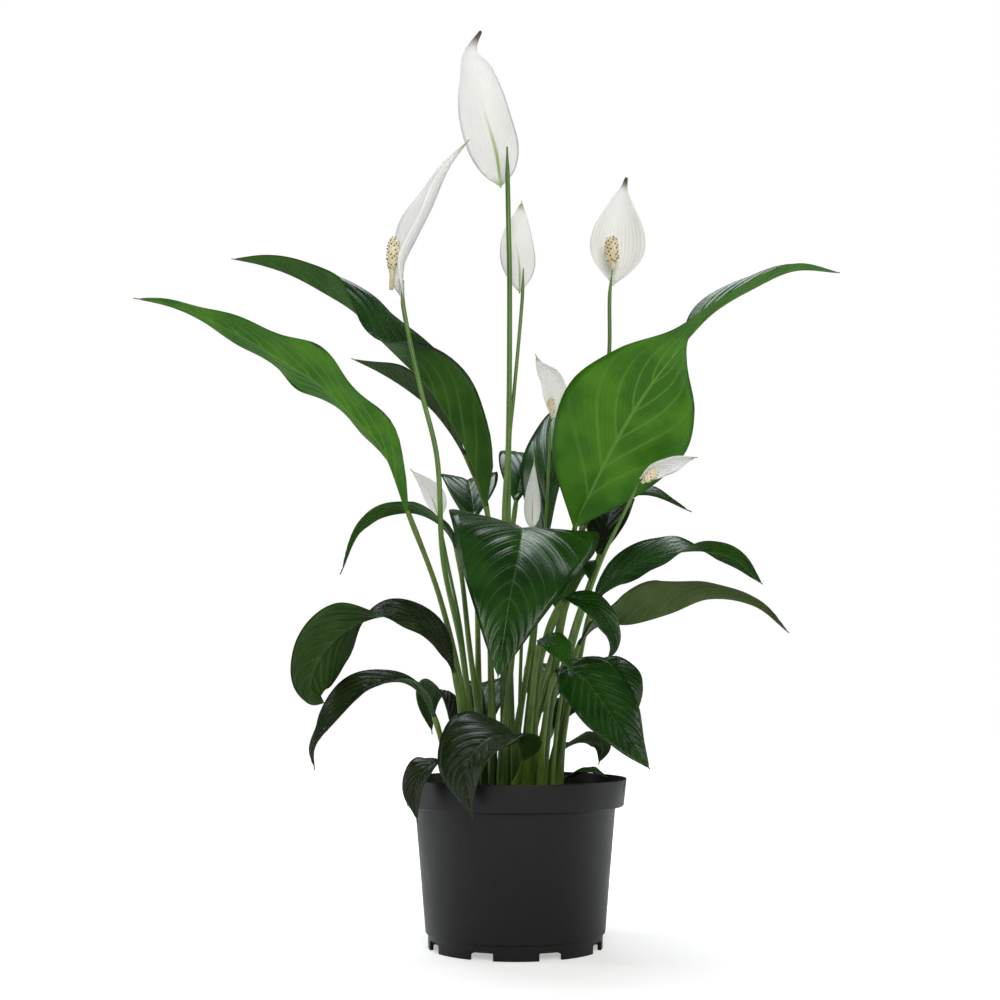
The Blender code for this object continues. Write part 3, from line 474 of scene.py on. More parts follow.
leaves = {
    "leaf_long_left": {
        "spine": [(-0.036, -0.012, 0), (-0.040, -0.014, 0.074), (-0.057, -0.022, 0.149),
                  (-0.082, -0.030, 0.216), (-0.100, -0.042, 0.262), (-0.123, -0.050, 0.287),
                  (-0.147, -0.056, 0.309), (-0.168, -0.060, 0.322), (-0.201, -0.064, 0.342),
                  (-0.232, -0.067, 0.357), (-0.258, -0.069, 0.367), (-0.285, -0.070, 0.371)],
        "bladeFrom": 3, "heading": 180, "width": 0.056, "tone": "fresh",
        "widths": (0, 0.42, 0.66, 0.78, 0.88, 1, 0.86, 0.58, 0.38, 0.20, 0),
        "roll": (26, 26, 28, 29, 29, 29, 28, 26, 24, 22, 20),
        "fold": (24, 22, 20, 17, 15, 12, 12, 10, 8, 8, 8),
        "wave": (0.14, 4, 0.1)},
    "leaf_upper_left": {
        "spine": [(-0.017, -0.006, 0), (-0.020, -0.006, 0.150), (-0.022, -0.004, 0.222),
                  (-0.037, -0.002, 0.266), (-0.051, 0.000, 0.292), (-0.068, 0.004, 0.318),
                  (-0.089, 0.008, 0.340), (-0.114, 0.012, 0.365), (-0.128, 0.015, 0.381),
                  (-0.152, 0.019, 0.397), (-0.180, 0.024, 0.413), (-0.205, 0.030, 0.423),
                  (-0.231, 0.036, 0.430)],
        "bladeFrom": 2, "heading": 180, "width": 0.060, "tone": "deep",
        "widths": (0, 0.55, 0.85, 1, 1, 0.96, 0.90, 0.78, 0.58, 0.34, 0),
        "roll": (7, 7, 7, 6, -6, -34, -32, -10, -5, -5, -2),
        "fold": (55, 66, 67, 66, 52, 26, 28, 48, 54, 52, 40)},
    "leaf_mid_left": {
        "spine": [(-0.006, 0.020, 0), (-0.008, 0.036, 0.152), (-0.022, 0.042, 0.222),
                  (-0.040, 0.048, 0.270), (-0.062, 0.058, 0.304), (-0.084, 0.070, 0.325),
                  (-0.111, 0.088, 0.345), (-0.139, 0.108, 0.362)],
        "bladeFrom": 3, "heading": 160, "width": 0.038, "tone": "dusky",
        "widths": (0, 0.40, 0.75, 0.95, 1, 0.98, 0.90, 0.72, 0.45, 0.20, 0),
        "roll": (20, 25, 28, 30, 30, 25, 20), "fold": (30, 28, 24, 20)},
    "leaf_great_right": {
        "spine": [(0.021, -0.001, 0), (0.034, -0.018, 0.118), (0.045, -0.038, 0.203),
                  (0.056, -0.050, 0.228), (0.070, -0.062, 0.256), (0.086, -0.072, 0.284),
                  (0.105, -0.078, 0.312), (0.126, -0.078, 0.338), (0.148, -0.070, 0.361),
                  (0.180, -0.058, 0.382), (0.214, -0.044, 0.399), (0.251, -0.030, 0.401)],
        "bladeFrom": 2, "heading": 0, "width": 0.104, "tone": "fresh",
        "widths": (0, 0.56, 0.90, 1, 0.75, 0.43, 0.42, 0.40, 0.34, 0.22, 0),
        "roll": (-74, -75, -75, -74, -64, -26, 10, 18, 18, 16, 12),
        "fold": (4, 4, 4, 2, -4, 2, 20, 25, 25, 22, 16),
        "veins": 15},
    "leaf_front_centre": {
        "spine": [(-0.011, -0.016, 0), (-0.002, -0.022, 0.110), (0.004, -0.040, 0.176),
                  (0.005, -0.068, 0.199), (0.003, -0.108, 0.182), (-0.005, -0.138, 0.143),
                  (-0.013, -0.155, 0.090)],
        "bladeFrom": 2, "heading": -90, "width": 0.110, "tone": "deep",
        "widths": (0, 0.52, 0.88, 1, 0.98, 0.86, 0.72, 0.56, 0.38, 0.20, 0),
        "roll": (-8, -11, -10, -6, -5, -4), "fold": (8, 6, 8, 10, 14, 14),
        "veins": 12},
    "leaf_thin_left": {
        "spine": [(-0.023, 0.004, 0), (-0.036, 0.009, 0.119), (-0.046, 0.008, 0.191),
                  (-0.059, 0.004, 0.210), (-0.084, -0.003, 0.218), (-0.116, -0.024, 0.203),
                  (-0.132, -0.036, 0.167)],
        "bladeFrom": 2, "heading": 180, "width": 0.034, "tone": "deep",
        "roll": (-20, 10, 10), "fold": (15,)},
    "leaf_arch_left": {
        "spine": [(-0.039, -0.024, 0), (-0.040, -0.028, 0.050), (-0.046, -0.036, 0.094),
                  (-0.056, -0.048, 0.117), (-0.070, -0.060, 0.130), (-0.087, -0.070, 0.135),
                  (-0.104, -0.078, 0.133), (-0.122, -0.085, 0.124), (-0.134, -0.091, 0.112),
                  (-0.142, -0.097, 0.098), (-0.145, -0.103, 0.086), (-0.142, -0.107, 0.076),
                  (-0.134, -0.110, 0.072)],
        "bladeFrom": 2, "heading": 205, "width": 0.052, "tone": "dusky",
        "widths": (0, 0.50, 0.74, 0.76, 0.70, 0.70, 0.92, 1, 0.85, 0.50, 0),
        "roll": (-40, -45, -46, -44, -34, 4, 50, 66, 76, 80, 70), "fold": (10, 8, 6, 6, 8, 8, 6)},
    "leaf_low_left": {
        "spine": [(-0.050, -0.034, 0), (-0.053, -0.042, 0.034), (-0.060, -0.054, 0.062),
                  (-0.068, -0.062, 0.078), (-0.080, -0.072, 0.087), (-0.094, -0.082, 0.087),
                  (-0.110, -0.092, 0.081), (-0.121, -0.102, 0.070), (-0.131, -0.112, 0.057),
                  (-0.140, -0.120, 0.042), (-0.139, -0.125, 0.027)],
        "bladeFrom": 2, "heading": 215, "width": 0.040, "tone": "dusky",
        "widths": (0, 0.40, 0.55, 0.66, 0.82, 1, 1, 0.75, 0.45, 0.25, 0),
        "roll": (-20, -20, -15, -10, -5, 0, 10), "fold": (24, 20, 16, 16)},
    "leaf_small_left": {
        "spine": [(-0.036, 0.025, 0), (-0.047, 0.045, 0.041), (-0.056, 0.058, 0.072),
                  (-0.064, 0.067, 0.080), (-0.069, 0.074, 0.068), (-0.067, 0.079, 0.044)],
        "bladeFrom": 1, "heading": 140, "width": 0.034, "tone": "dusky",
        "roll": (20, 20), "fold": (15,)},
    "leaf_rim_front": {
        "spine": [(-0.003, -0.034, 0), (0.006, -0.046, 0.030), (0.000, -0.058, 0.046),
                  (-0.020, -0.074, 0.046), fromRim(-111, 0.012, 0.012),
                  fromRim(-108, 0.014, -0.024)],
        "bladeFrom": 1, "heading": -140, "width": 0.066, "tone": "dusky",
        "roll": (-10, -15, 0), "fold": (16,)},
    "leaf_rim_left": {
        "spine": [(-0.043, -0.042, 0), (-0.048, -0.048, 0.024), fromRim(-134, 0.000, 0.014),
                  fromRim(-138, 0.012, 0.000), fromRim(-136, 0.014, -0.028)],
        "bladeFrom": 1, "heading": -136, "width": 0.031, "tone": "dusky", "roll": (0, 0), "fold": (14,)},
    "leaf_mid_right": {
        "spine": [(0.027, 0.017, 0), (0.048, 0.030, 0.088), (0.062, 0.036, 0.146),
                  (0.080, 0.033, 0.170), (0.099, 0.025, 0.180), (0.122, 0.012, 0.187),
                  (0.146, 0.000, 0.188), (0.169, -0.015, 0.180), (0.187, -0.030, 0.160)],
        "bladeFrom": 2, "heading": -15, "width": 0.044, "tone": "deep",
        "widths": (0, 0.50, 0.82, 1, 1, 0.96, 0.70, 0.50, 0.48, 0.34, 0),
        "roll": (30, 40, 44, 44, 42, 34, 2, -36, -42, -40, -34), "fold": (8, 8, 8, 8, 8, 8)},
    "leaf_pale_right": {
        "spine": [(0.030, 0.006, 0), (0.041, 0.000, 0.078), (0.049, -0.008, 0.115),
                  (0.063, -0.016, 0.130), (0.088, -0.030, 0.131), (0.115, -0.044, 0.138),
                  (0.143, -0.058, 0.148), (0.174, -0.070, 0.142), (0.197, -0.080, 0.122)],
        "bladeFrom": 2, "heading": -25, "width": 0.054, "tone": "pale",
        "widths": (0, 0.45, 0.78, 0.96, 1, 0.88, 0.62, 0.42, 0.36, 0.28, 0),
        "roll": (32, 26, 10, -8, -14, -18, -20, -20, -20, -20, -18),
        "fold": (8, 18, 34, 50, 54, 50, 42, 30, 22, 20, 18)},
    "leaf_thin_right": {
        "spine": [(0.020, 0.010, 0), (0.037, 0.014, 0.135), (0.055, 0.008, 0.209),
                  (0.082, -0.002, 0.228), (0.104, -0.015, 0.230), (0.134, -0.030, 0.215)],
        "bladeFrom": 2, "heading": -15, "width": 0.032, "tone": "deep",
        "roll": (10, 15, 10), "fold": (18,)},
    "leaf_curl_front": {
        "spine": [(0.013, -0.013, 0), (0.019, -0.046, 0.104), (0.034, -0.085, 0.145),
                  (0.052, -0.105, 0.141), (0.066, -0.115, 0.121), (0.067, -0.119, 0.110),
                  (0.061, -0.121, 0.100)],
        "bladeFrom": 2, "heading": -35, "width": 0.022, "tone": "deep",
        "roll": (34, 34, 28), "fold": (16,)},
    "leaf_dart_front": {
        "spine": [(0.007, -0.026, 0), (0.012, -0.046, 0.070), (0.018, -0.072, 0.116),
                  (0.028, -0.088, 0.112), (0.041, -0.100, 0.093)],
        "bladeFrom": 2, "heading": -40, "width": 0.022, "tone": "fresh",
        "roll": (30, 30), "fold": (16,)},
    "leaf_front_right": {
        "spine": [(0.018, -0.025, 0), (0.021, -0.044, 0.052), (0.030, -0.062, 0.094),
                  (0.045, -0.074, 0.093), (0.057, -0.086, 0.079), (0.068, -0.099, 0.062),
                  (0.079, -0.109, 0.044), (0.092, -0.117, 0.027)],
        "bladeFrom": 2, "heading": -50, "width": 0.048, "tone": "deep",
        "widths": (0, 0.60, 0.92, 1, 1, 0.95, 0.84, 0.68, 0.48, 0.25, 0),
        "roll": (26, 30, 32, 30, 26), "fold": (8,)},
    "leaf_behind_right": {
        "spine": [(0.033, -0.008, 0), (0.038, -0.012, 0.054), (0.048, -0.019, 0.092),
                  (0.069, -0.036, 0.095), (0.083, -0.050, 0.081), (0.088, -0.059, 0.060)],
        "bladeFrom": 2, "heading": -35, "width": 0.038, "tone": "deep", "roll": (20, 24), "fold": (12,)},
    "leaf_small_right": {
        "spine": [(0.030, 0.027, 0), (0.034, 0.040, 0.029), (0.050, 0.052, 0.039),
                  (0.069, 0.060, 0.036), (0.068, 0.066, 0.020)],
        "bladeFrom": 1, "heading": 45, "width": 0.030, "tone": "dusky",
        "roll": (-20, -20), "fold": (12,)},
    "leaf_soil_right": {
        "spine": [(0.027, 0.044, 0), (0.040, 0.041, 0.011), fromRim(27, -0.020, 0.003),
                  fromRim(16, -0.010, -0.001)],
        "bladeFrom": 1, "heading": -25, "width": 0.020, "tone": "fresh",
        "roll": (10, 10), "fold": (10,)},
    "leaf_back_left": {
        "spine": [(-0.028, 0.030, 0), (-0.030, 0.056, 0.152), (-0.033, 0.085, 0.222),
                  (-0.038, 0.120, 0.256), (-0.042, 0.165, 0.258), (-0.040, 0.205, 0.225)],
        "bladeFrom": 2, "heading": 95, "width": 0.052, "tone": "deep", "roll": (0, 0), "fold": (14,)},
    "leaf_back_top": {
        "spine": [(-0.008, 0.047, 0), (-0.006, 0.075, 0.150), (0.002, 0.100, 0.238),
                  (0.012, 0.140, 0.280), (0.020, 0.190, 0.282), (0.024, 0.235, 0.245)],
        "bladeFrom": 2, "heading": 80, "width": 0.050, "tone": "deep", "roll": (0, 0), "fold": (14,)},
    "leaf_back_upright": {
        "spine": [(-0.002, 0.036, 0), (0.014, 0.055, 0.120), (0.024, 0.062, 0.190),
                  (0.030, 0.072, 0.262), (0.058, 0.110, 0.318), (0.090, 0.160, 0.306),
                  (0.106, 0.200, 0.255)],
        "bladeFrom": 2, "heading": 50, "width": 0.070, "tone": "deep",
        "roll": (-20, -10, 0), "fold": (12,)},
    "leaf_back_low_left": {
        "spine": [(-0.017, 0.022, 0), (-0.021, 0.050, 0.052), (-0.026, 0.085, 0.082),
                  (-0.031, 0.125, 0.080), (-0.034, 0.165, 0.050)],
        "bladeFrom": 1, "heading": 100, "width": 0.040, "tone": "deep", "roll": (0, 0), "fold": (14,)},
    "leaf_back_low": {
        "spine": [(0.007, 0.050, 0), (0.020, 0.085, 0.060), (0.034, 0.122, 0.095),
                  (0.045, 0.165, 0.094), (0.050, 0.205, 0.062)],
        "bladeFrom": 1, "heading": 75, "width": 0.050, "tone": "deep", "roll": (0, 0), "fold": (14,)},
    "leaf_back_low_right": {
        "spine": [(0.016, 0.060, 0), (0.032, 0.090, 0.048), (0.052, 0.125, 0.068),
                  (0.068, 0.160, 0.062), (0.072, 0.190, 0.040)],
        "bladeFrom": 1, "heading": 65, "width": 0.042, "tone": "deep", "roll": (0, 0), "fold": (14,)},
    "leaf_olive_right": {
        "spine": [(0.017, 0.025, 0), (0.045, 0.050, 0.120), (0.070, 0.072, 0.190),
                  (0.080, 0.092, 0.225), (0.088, 0.125, 0.238), (0.092, 0.165, 0.222)],
        "bladeFrom": 2, "heading": 70, "width": 0.042, "tone": "dusky", "roll": (0, 0), "fold": (14,)},
    "leaf_inner_right": {
        "spine": [(0.010, 0.037, 0), (0.019, 0.053, 0.072), (0.032, 0.063, 0.112),
                  (0.042, 0.068, 0.142), (0.050, 0.072, 0.166)],
        "bladeFrom": 2, "heading": 30, "width": 0.026, "tone": "deep",
        "roll": (-40, -40), "fold": (12,)},
    "leaf_centre_right": {
        "spine": [(0.012, -0.003, 0), (0.016, -0.022, 0.088), (0.032, -0.039, 0.140),
                  (0.042, -0.057, 0.168), (0.048, -0.070, 0.172), (0.054, -0.087, 0.158)],
        "bladeFrom": 2, "heading": -45, "width": 0.036, "tone": "deep", "roll": (-10, 0), "fold": (14,)},
}

leafStalk = {"radius": 0.0021, "thickness": 0.0007}
for nodeName, shape in leaves.items():
    bladePiece(nodeName, shape, leafMaterials[shape["tone"]],
               shape.get("stalk", leafStalk["radius"]), leafStalk["thickness"])
print("leaves made:", len(leaves))


flowers = {
    "tall": {
        "stem": [(-0.008, -0.002, 0), (-0.009, -0.005, 0.073), (-0.008, -0.010, 0.215),
                 (-0.005, -0.012, 0.272), (-0.004, -0.015, 0.394), (-0.005, -0.015, 0.451),
                 (-0.006, -0.011, 0.508)],
        "radius": 0.0022,
        "spathe": {"spine": [(-0.011, -0.002, 0.478), (-0.015, 0.003, 0.510),
                             (-0.024, 0.005, 0.543), (-0.030, 0.003, 0.571),
                             (-0.035, -0.003, 0.590), (-0.027, -0.006, 0.606)],
                   "heading": -90, "width": 0.050, "roll": (0,), "cup": 62, "tip": "brown",
                   "widths": (0, 0.50, 0.80, 0.96, 1, 0.98, 0.90, 0.74, 0.48, 0.18, 0.05)},
        "spadix": [(-0.013, 0.007, 0.500), (-0.015, 0.012, 0.508), (-0.020, 0.015, 0.536)],
        "spadixRadius": 0.0045},
    "left": {
        "stem": [(-0.031, -0.001, 0), (-0.040, -0.009, 0.106), (-0.055, -0.016, 0.179),
                 (-0.060, -0.020, 0.258), (-0.073, -0.020, 0.312), (-0.087, -0.018, 0.378)],
        "join": [(-0.087, -0.018, 0.398)],
        "radius": 0.0021,
        "spathe": {"spine": [(-0.087, -0.018, 0.382), (-0.087, -0.018, 0.409),
                             (-0.078, -0.018, 0.430), (-0.066, -0.018, 0.455),
                             (-0.052, -0.018, 0.488), (-0.036, -0.020, 0.511)],
                   "heading": 0, "width": 0.058, "belly": 0.45, "roll": (18,), "cup": 52},
        "spadix": [(-0.092, -0.016, 0.392), (-0.096, -0.015, 0.407), (-0.095, -0.015, 0.433)],
        "spadixRadius": 0.0048},
    "middle": {
        "stem": [(-0.001, 0.008, 0), (-0.004, 0.008, 0.150), (-0.004, 0.006, 0.275),
                 (-0.001, 0.005, 0.308), (0.006, 0.005, 0.387), (0.007, 0.006, 0.414)],
        "radius": 0.0016,
        "spathe": {"spine": [(0.004, 0.011, 0.395), (0.004, 0.013, 0.416),
                             (0.002, 0.016, 0.440), (0.004, 0.014, 0.456),
                             (0.006, 0.011, 0.471)],
                   "heading": -90, "width": 0.034, "belly": 0.46, "roll": (0,), "cup": 66},
        "spadix": [(0.004, 0.017, 0.410), (0.004, 0.020, 0.416), (0.003, 0.023, 0.438)],
        "spadixRadius": 0.0035},
    "right": {
        "stem": [(0.008, 0.016, 0), (0.035, 0.018, 0.119), (0.064, 0.016, 0.269),
                 (0.075, 0.012, 0.343), (0.076, 0.010, 0.393), (0.078, 0.007, 0.413)],
        "radius": 0.0018,
        "spathe": {"spine": [(0.079, 0.013, 0.402), (0.082, 0.017, 0.428),
                             (0.084, 0.016, 0.452), (0.086, 0.012, 0.471),
                             (0.090, 0.007, 0.489)],
                   "heading": 90, "width": 0.048, "roll": (0,), "cup": 48, "tip": "brown",
                   "widths": (0, 0.52, 0.84, 0.98, 1, 0.93, 0.78, 0.58, 0.36, 0.14, 0.05)},
        "spadix": [(0.078, 0.006, 0.4135), (0.078, 0.004, 0.417), (0.077, 0.001, 0.438)],
        "spadixRadius": 0.0052},
    "wilted": {
        "stem": [(0.005, 0.027, 0), (0.016, 0.031, 0.119), (0.025, 0.031, 0.215),
                 (0.029, 0.029, 0.290), (0.030, 0.029, 0.296)],
        "radius": 0.0013,
        "spathe": {"spine": [(0.031, 0.032, 0.297), (0.031, 0.036, 0.313),
                             (0.027, 0.036, 0.331), (0.020, 0.031, 0.341),
                             (0.017, 0.027, 0.349)],
                   "heading": 90, "width": 0.026, "belly": 0.40, "roll": (20,), "cup": 62},
        "spadix": [(0.030, 0.028, 0.2965), (0.030, 0.0265, 0.300), (0.029, 0.025, 0.313)],
        "spadixRadius": 0.0028},
    "low": {
        "stem": [(0.028, -0.017, 0), (0.033, -0.026, 0.066), (0.046, -0.042, 0.124),
                 (0.063, -0.060, 0.175), (0.080, -0.073, 0.211), (0.090, -0.076, 0.232)],
        "radius": 0.0015,
        "spathe": {"spine": [(0.091, -0.073, 0.235), (0.098, -0.072, 0.242),
                             (0.108, -0.072, 0.247), (0.121, -0.074, 0.250),
                             (0.133, -0.078, 0.250)],
                   "heading": 0, "width": 0.024, "belly": 0.42, "roll": (150,), "cup": 55},
        "spadix": [(0.0915, -0.0765, 0.2325), (0.094, -0.077, 0.233), (0.103, -0.079, 0.240)],
        "spadixRadius": 0.0036},
    "left_bud": {
        "stem": [(-0.030, 0.014, 0), (-0.041, 0.019, 0.119), (-0.054, 0.023, 0.185),
                 (-0.060, 0.024, 0.214)],
        "radius": 0.0014,
        "spathe": {"spine": [(-0.0605, 0.0242, 0.216), (-0.064, 0.025, 0.228),
                             (-0.072, 0.025, 0.242), (-0.083, 0.022, 0.255)],
                   "heading": 180, "width": 0.022, "belly": 0.35, "roll": (60,), "cup": 60}},
    "centre_bud": {
        "stem": [(0.003, -0.008, 0), (0.005, -0.010, 0.118), (0.011, -0.012, 0.180),
                 (0.0125, -0.012, 0.202)],
        "radius": 0.0014,
        "spathe": {"spine": [(0.013, -0.012, 0.204), (0.0135, -0.011, 0.222),
                             (0.014, -0.011, 0.240), (0.015, -0.012, 0.259)],
                   "heading": -90, "width": 0.016, "belly": 0.32, "roll": (0,), "cup": 70}},
}

flowerColours = {
    "spathe": (0.98, 0.98, 0.96, 1), "spatheShade": (0.93, 0.93, 0.88, 1),
    "spatheGreen": (0.24, 0.42, 0.08, 1), "brownTip": (0.060, 0.036, 0.026, 1),
    "greenTip": (0.30, 0.40, 0.14, 1),
    "spadix": (0.78, 0.66, 0.40, 1), "spadixPale": (0.88, 0.82, 0.64, 1),
    "speck": (0.060, 0.026, 0.010, 1),
}


def spatheMaterial(name, greenShare, tipColour):
    material, tree, sockets = newMaterial(name, Roughness=0.45)
    sockets["Subsurface Weight"].default_value = 0.25
    sockets["Subsurface Radius"].default_value = (0.004, 0.004, 0.003)
    sockets["Subsurface Scale"].default_value = 1.0
    place = addNode(tree, "ShaderNodeUVMap", uv_map="bladeMap")
    split = addNode(tree, "ShaderNodeSeparateXYZ")
    tree.links.new(place.outputs["UV"], split.inputs[0])
    aside = maths(tree, "ABSOLUTE", maths(tree, "MULTIPLY_ADD", split.outputs["Y"], 2.0, -1.0))
    patches = useGroup(tree, mottle, Scale=60.0)
    lines = maths(tree, "SINE", maths(tree, "MULTIPLY", aside, 46.0))
    share = maths(tree, "MULTIPLY_ADD", lines, 0.12, maths(tree, "MULTIPLY", patches["Blotch"], 0.5))
    colour = mixColour(tree, share, flowerColours["spathe"], flowerColours["spatheShade"])
    ribWidth = ramp(tree, split.outputs["X"], 0.16, 0.015, 0.0, 0.6)
    rib = ramp(tree, aside, 1.0, 0.0, 0.0, ribWidth)
    fade = ramp(tree, split.outputs["X"], 1.0, 0.0, 0.15, 0.75)
    foot = ramp(tree, split.outputs["X"], 0.8, 0.0, 0.0, 0.09)
    green = maths(tree, "MAXIMUM", maths(tree, "MULTIPLY", rib, fade), foot)
    green = maths(tree, "MULTIPLY", green, greenShare)
    colour = mixColour(tree, green, colour, flowerColours["spatheGreen"])
    tip = ramp(tree, split.outputs["X"], 0.0, 1.0, 0.86, 0.97)
    wire(tree, mixColour(tree, tip, colour, tipColour), sockets["Base Color"])
    wire(tree, addBump(tree, lines, 0.35, 0.0003), sockets["Normal"])
    return material


def spadixMaterial():
    material, tree, sockets = newMaterial("spadixCream", Roughness=0.7)
    patches = useGroup(tree, mottle, Scale=160.0)
    colour = mixColour(tree, patches["Blotch"], flowerColours["spadix"], flowerColours["spadixPale"])
    wire(tree, colour, sockets["Base Color"])
    wire(tree, addBump(tree, patches["Speck"], 0.4, 0.0002), sockets["Normal"])
    return material


def speckMaterial():
    material, tree, sockets = newMaterial("spadixSpecks", Roughness=0.6)
    patches = useGroup(tree, mottle, Scale=400.0)
    pale = (0.22, 0.12, 0.05, 1)
    wire(tree, mixColour(tree, patches["Blotch"], flowerColours["speck"], pale), sockets["Base Color"])
    return material


spatheMaterials = {}
for tipName in ("brown", "green"):
    tipColour = flowerColours[tipName + "Tip"]
    spatheMaterials[tipName] = (
        spatheMaterial("spatheInside" + tipName.capitalize(), 0.35, tipColour),
        spatheMaterial("spatheOutside" + tipName.capitalize(), 1.0, tipColour),
    )
spadixMaterials = (spadixMaterial(), speckMaterial())


stemBuild = {
    "rows": 90, "sides": 16, "ridges": 5, "ridgeHeight": 0.03,
    "footWidth": 1.1, "narrowing": 0.25, "sheath": 0.35, "tipFrom": 0.95, "tipLoss": 0.65,
}


def stemPiece(nodeName, points, radius):
    build = stemBuild
    line = smoothLine(points, True)
    lengths = runningLength(line)
    shares = np.linspace(0, 1, build["rows"])
    centre = np.stack([np.interp(shares * lengths[-1], lengths, line[:, i]) for i in range(3)], 1)
    way = unit(np.gradient(centre, axis=0))
    across = unit(np.cross(way, np.array([0.0, 1.0, 0.0])))
    up = np.cross(across, way)
    swell = build["footWidth"] - build["narrowing"] * shares
    swell = swell + build["sheath"] * np.exp(-(shares / 0.08) ** 2)
    swell *= 1 - build["tipLoss"] * smoothStep(build["tipFrom"], 1.0, shares)
    sides = build["sides"]
    turn = 2 * math.pi * np.arange(sides) / sides
    ridge = 1 + build["ridgeHeight"] * np.cos(build["ridges"] * turn)
    outward = across[:, None] * np.cos(turn)[None, :, None] + up[:, None] * np.sin(turn)[None, :, None]
    points = centre[:, None] + radius * swell[:, None, None] * ridge[None, :, None] * outward
    faces = []
    for i in range(len(shares) - 1):
        for j in range(sides):
            k = (j + 1) % sides
            faces.append((i * sides + j, i * sides + k, (i + 1) * sides + k, (i + 1) * sides + j))
    faces.append(tuple(range(sides - 1, -1, -1)))
    faces.append(tuple(range((len(shares) - 1) * sides, len(shares) * sides)))
    return meshObject(camel(nodeName), points.reshape(-1, 3), faces, (stalks["flowerStalk"],),
                      (nodeName,))


spadixBuild = {
    "florets": 120, "floretsOver": 0.028, "floretRadius": 0.0010, "floretFor": 0.005,
    "coreShare": 0.86, "speckShare": 0.46, "speckSize": 0.72, "turnAngle": 137.5,
}


def spadixPiece(nodeName, points, radius):        # a core wound with florets, some with brown specks
    stalkEnd, foot, top = [Vector(point) + soil for point in points]
    axis = (top - foot).normalized()
    turnTo = Vector((0, 0, 1)).rotation_difference(axis).to_matrix().to_4x4()
    length = (top - foot).length
    body = bmesh.new()
    core = bmesh.ops.create_uvsphere(body, u_segments=24, v_segments=20, radius=1)["verts"]
    for vert in core:
        fullness = max(0.0, 1 - abs(vert.co.z) ** 3) ** 0.5
        flat = Vector((vert.co.x, vert.co.y, 0)).normalized() * radius * spadixBuild["coreShare"] * fullness
        vert.co = Vector((flat.x, flat.y, (vert.co.z * 0.5 + 0.5) * length))
    stalk = bmesh.ops.create_cone(body, segments=12, radius1=radius * 0.35, radius2=radius * 0.5,
                                  depth=(foot - stalkEnd).length + radius, cap_ends=True)["verts"]
    bmesh.ops.translate(body, verts=stalk, vec=(0, 0, -(foot - stalkEnd).length / 2 + radius / 2))
    chance = random.Random(len(nodeName) * 7 + int(radius * 1e5))
    count = int(spadixBuild["florets"] * length / spadixBuild["floretsOver"])
    size = spadixBuild["floretRadius"] * radius / spadixBuild["floretFor"]
    specks = []
    for i in range(count):
        height = (i + 0.5) / count
        turn = math.radians(spadixBuild["turnAngle"] * i)
        bulge = max(0.05, 1 - abs(height * 2 - 1) ** 3) ** 0.5
        spot = Vector((math.cos(turn), math.sin(turn), 0)) * radius * spadixBuild["coreShare"] * bulge
        spot.z = height * length
        floret = bmesh.ops.create_icosphere(body, subdivisions=2, radius=size)["verts"]
        bmesh.ops.translate(body, verts=floret, vec=spot)
        if chance.random() < spadixBuild["speckShare"]:
            out = Vector((spot.x, spot.y, (height - 0.5) * radius)).normalized()
            specks.append(spot + out * size * 0.85)
    speckRadius = size * spadixBuild["speckSize"]
    for spot in specks:
        speck = bmesh.ops.create_icosphere(body, subdivisions=1, radius=speckRadius)["verts"]
        bmesh.ops.translate(body, verts=speck, vec=spot)
        for face in {face for vert in speck for face in vert.link_faces}:
            face.material_index = 1
    bmesh.ops.transform(body, verts=body.verts, matrix=Matrix.Translation(foot) @ turnTo)
    mesh = bpy.data.meshes.new(camel(nodeName))
    body.to_mesh(mesh)
    body.free()
    for material in spadixMaterials:
        mesh.materials.append(material)
    mesh.shade_smooth()
    return finishPiece(bpy.data.objects.new(camel(nodeName), mesh), (nodeName,))


spatheBuild = {"footRadius": 0.0007, "thickness": 0.0006, "quilt": 0, "sweep": 0, "wave": (0.06, 2, 0.1)}

for name, flower in flowers.items():
    stemPiece("stem_" + name, flower["stem"] + flower.get("join", []), flower["radius"])
    spathe = spatheBuild | flower["spathe"]
    bladePiece("spathe_" + name, spathe, spatheMaterials[spathe.get("tip", "green")],
               spathe["footRadius"], spathe["thickness"])
    if "spadix" in flower:
        spadixPiece("spadix_" + name, flower["spadix"], flower["spadixRadius"])
print("flowers made:", len(flowers))


potShape = {
    "bandDepth": 0.0205, "bandTaper": 0.0024, "shoulderInset": 0.0063, "footRadius": 0.0661,
    "stepWidth": 0.0018, "stepHeight": 0.0115, "wall": 0.0014, "floorRaise": 0.004,
    "footWidth": 0.003, "lip": 0.0007, "turns": 192,
    "archCount": 8, "archWidth": 0.018, "archHeight": 0.0075, "archReach": 0.009,
    "archRound": 0.003, "slotWidth": 0.002, "slotHeight": 0.006, "slotBelowRim": 0.003,
    "slotAngle": -15,
    "plastic": (0.0055, 0.0055, 0.0056, 1), "plasticWorn": (0.022, 0.022, 0.022, 1),
}


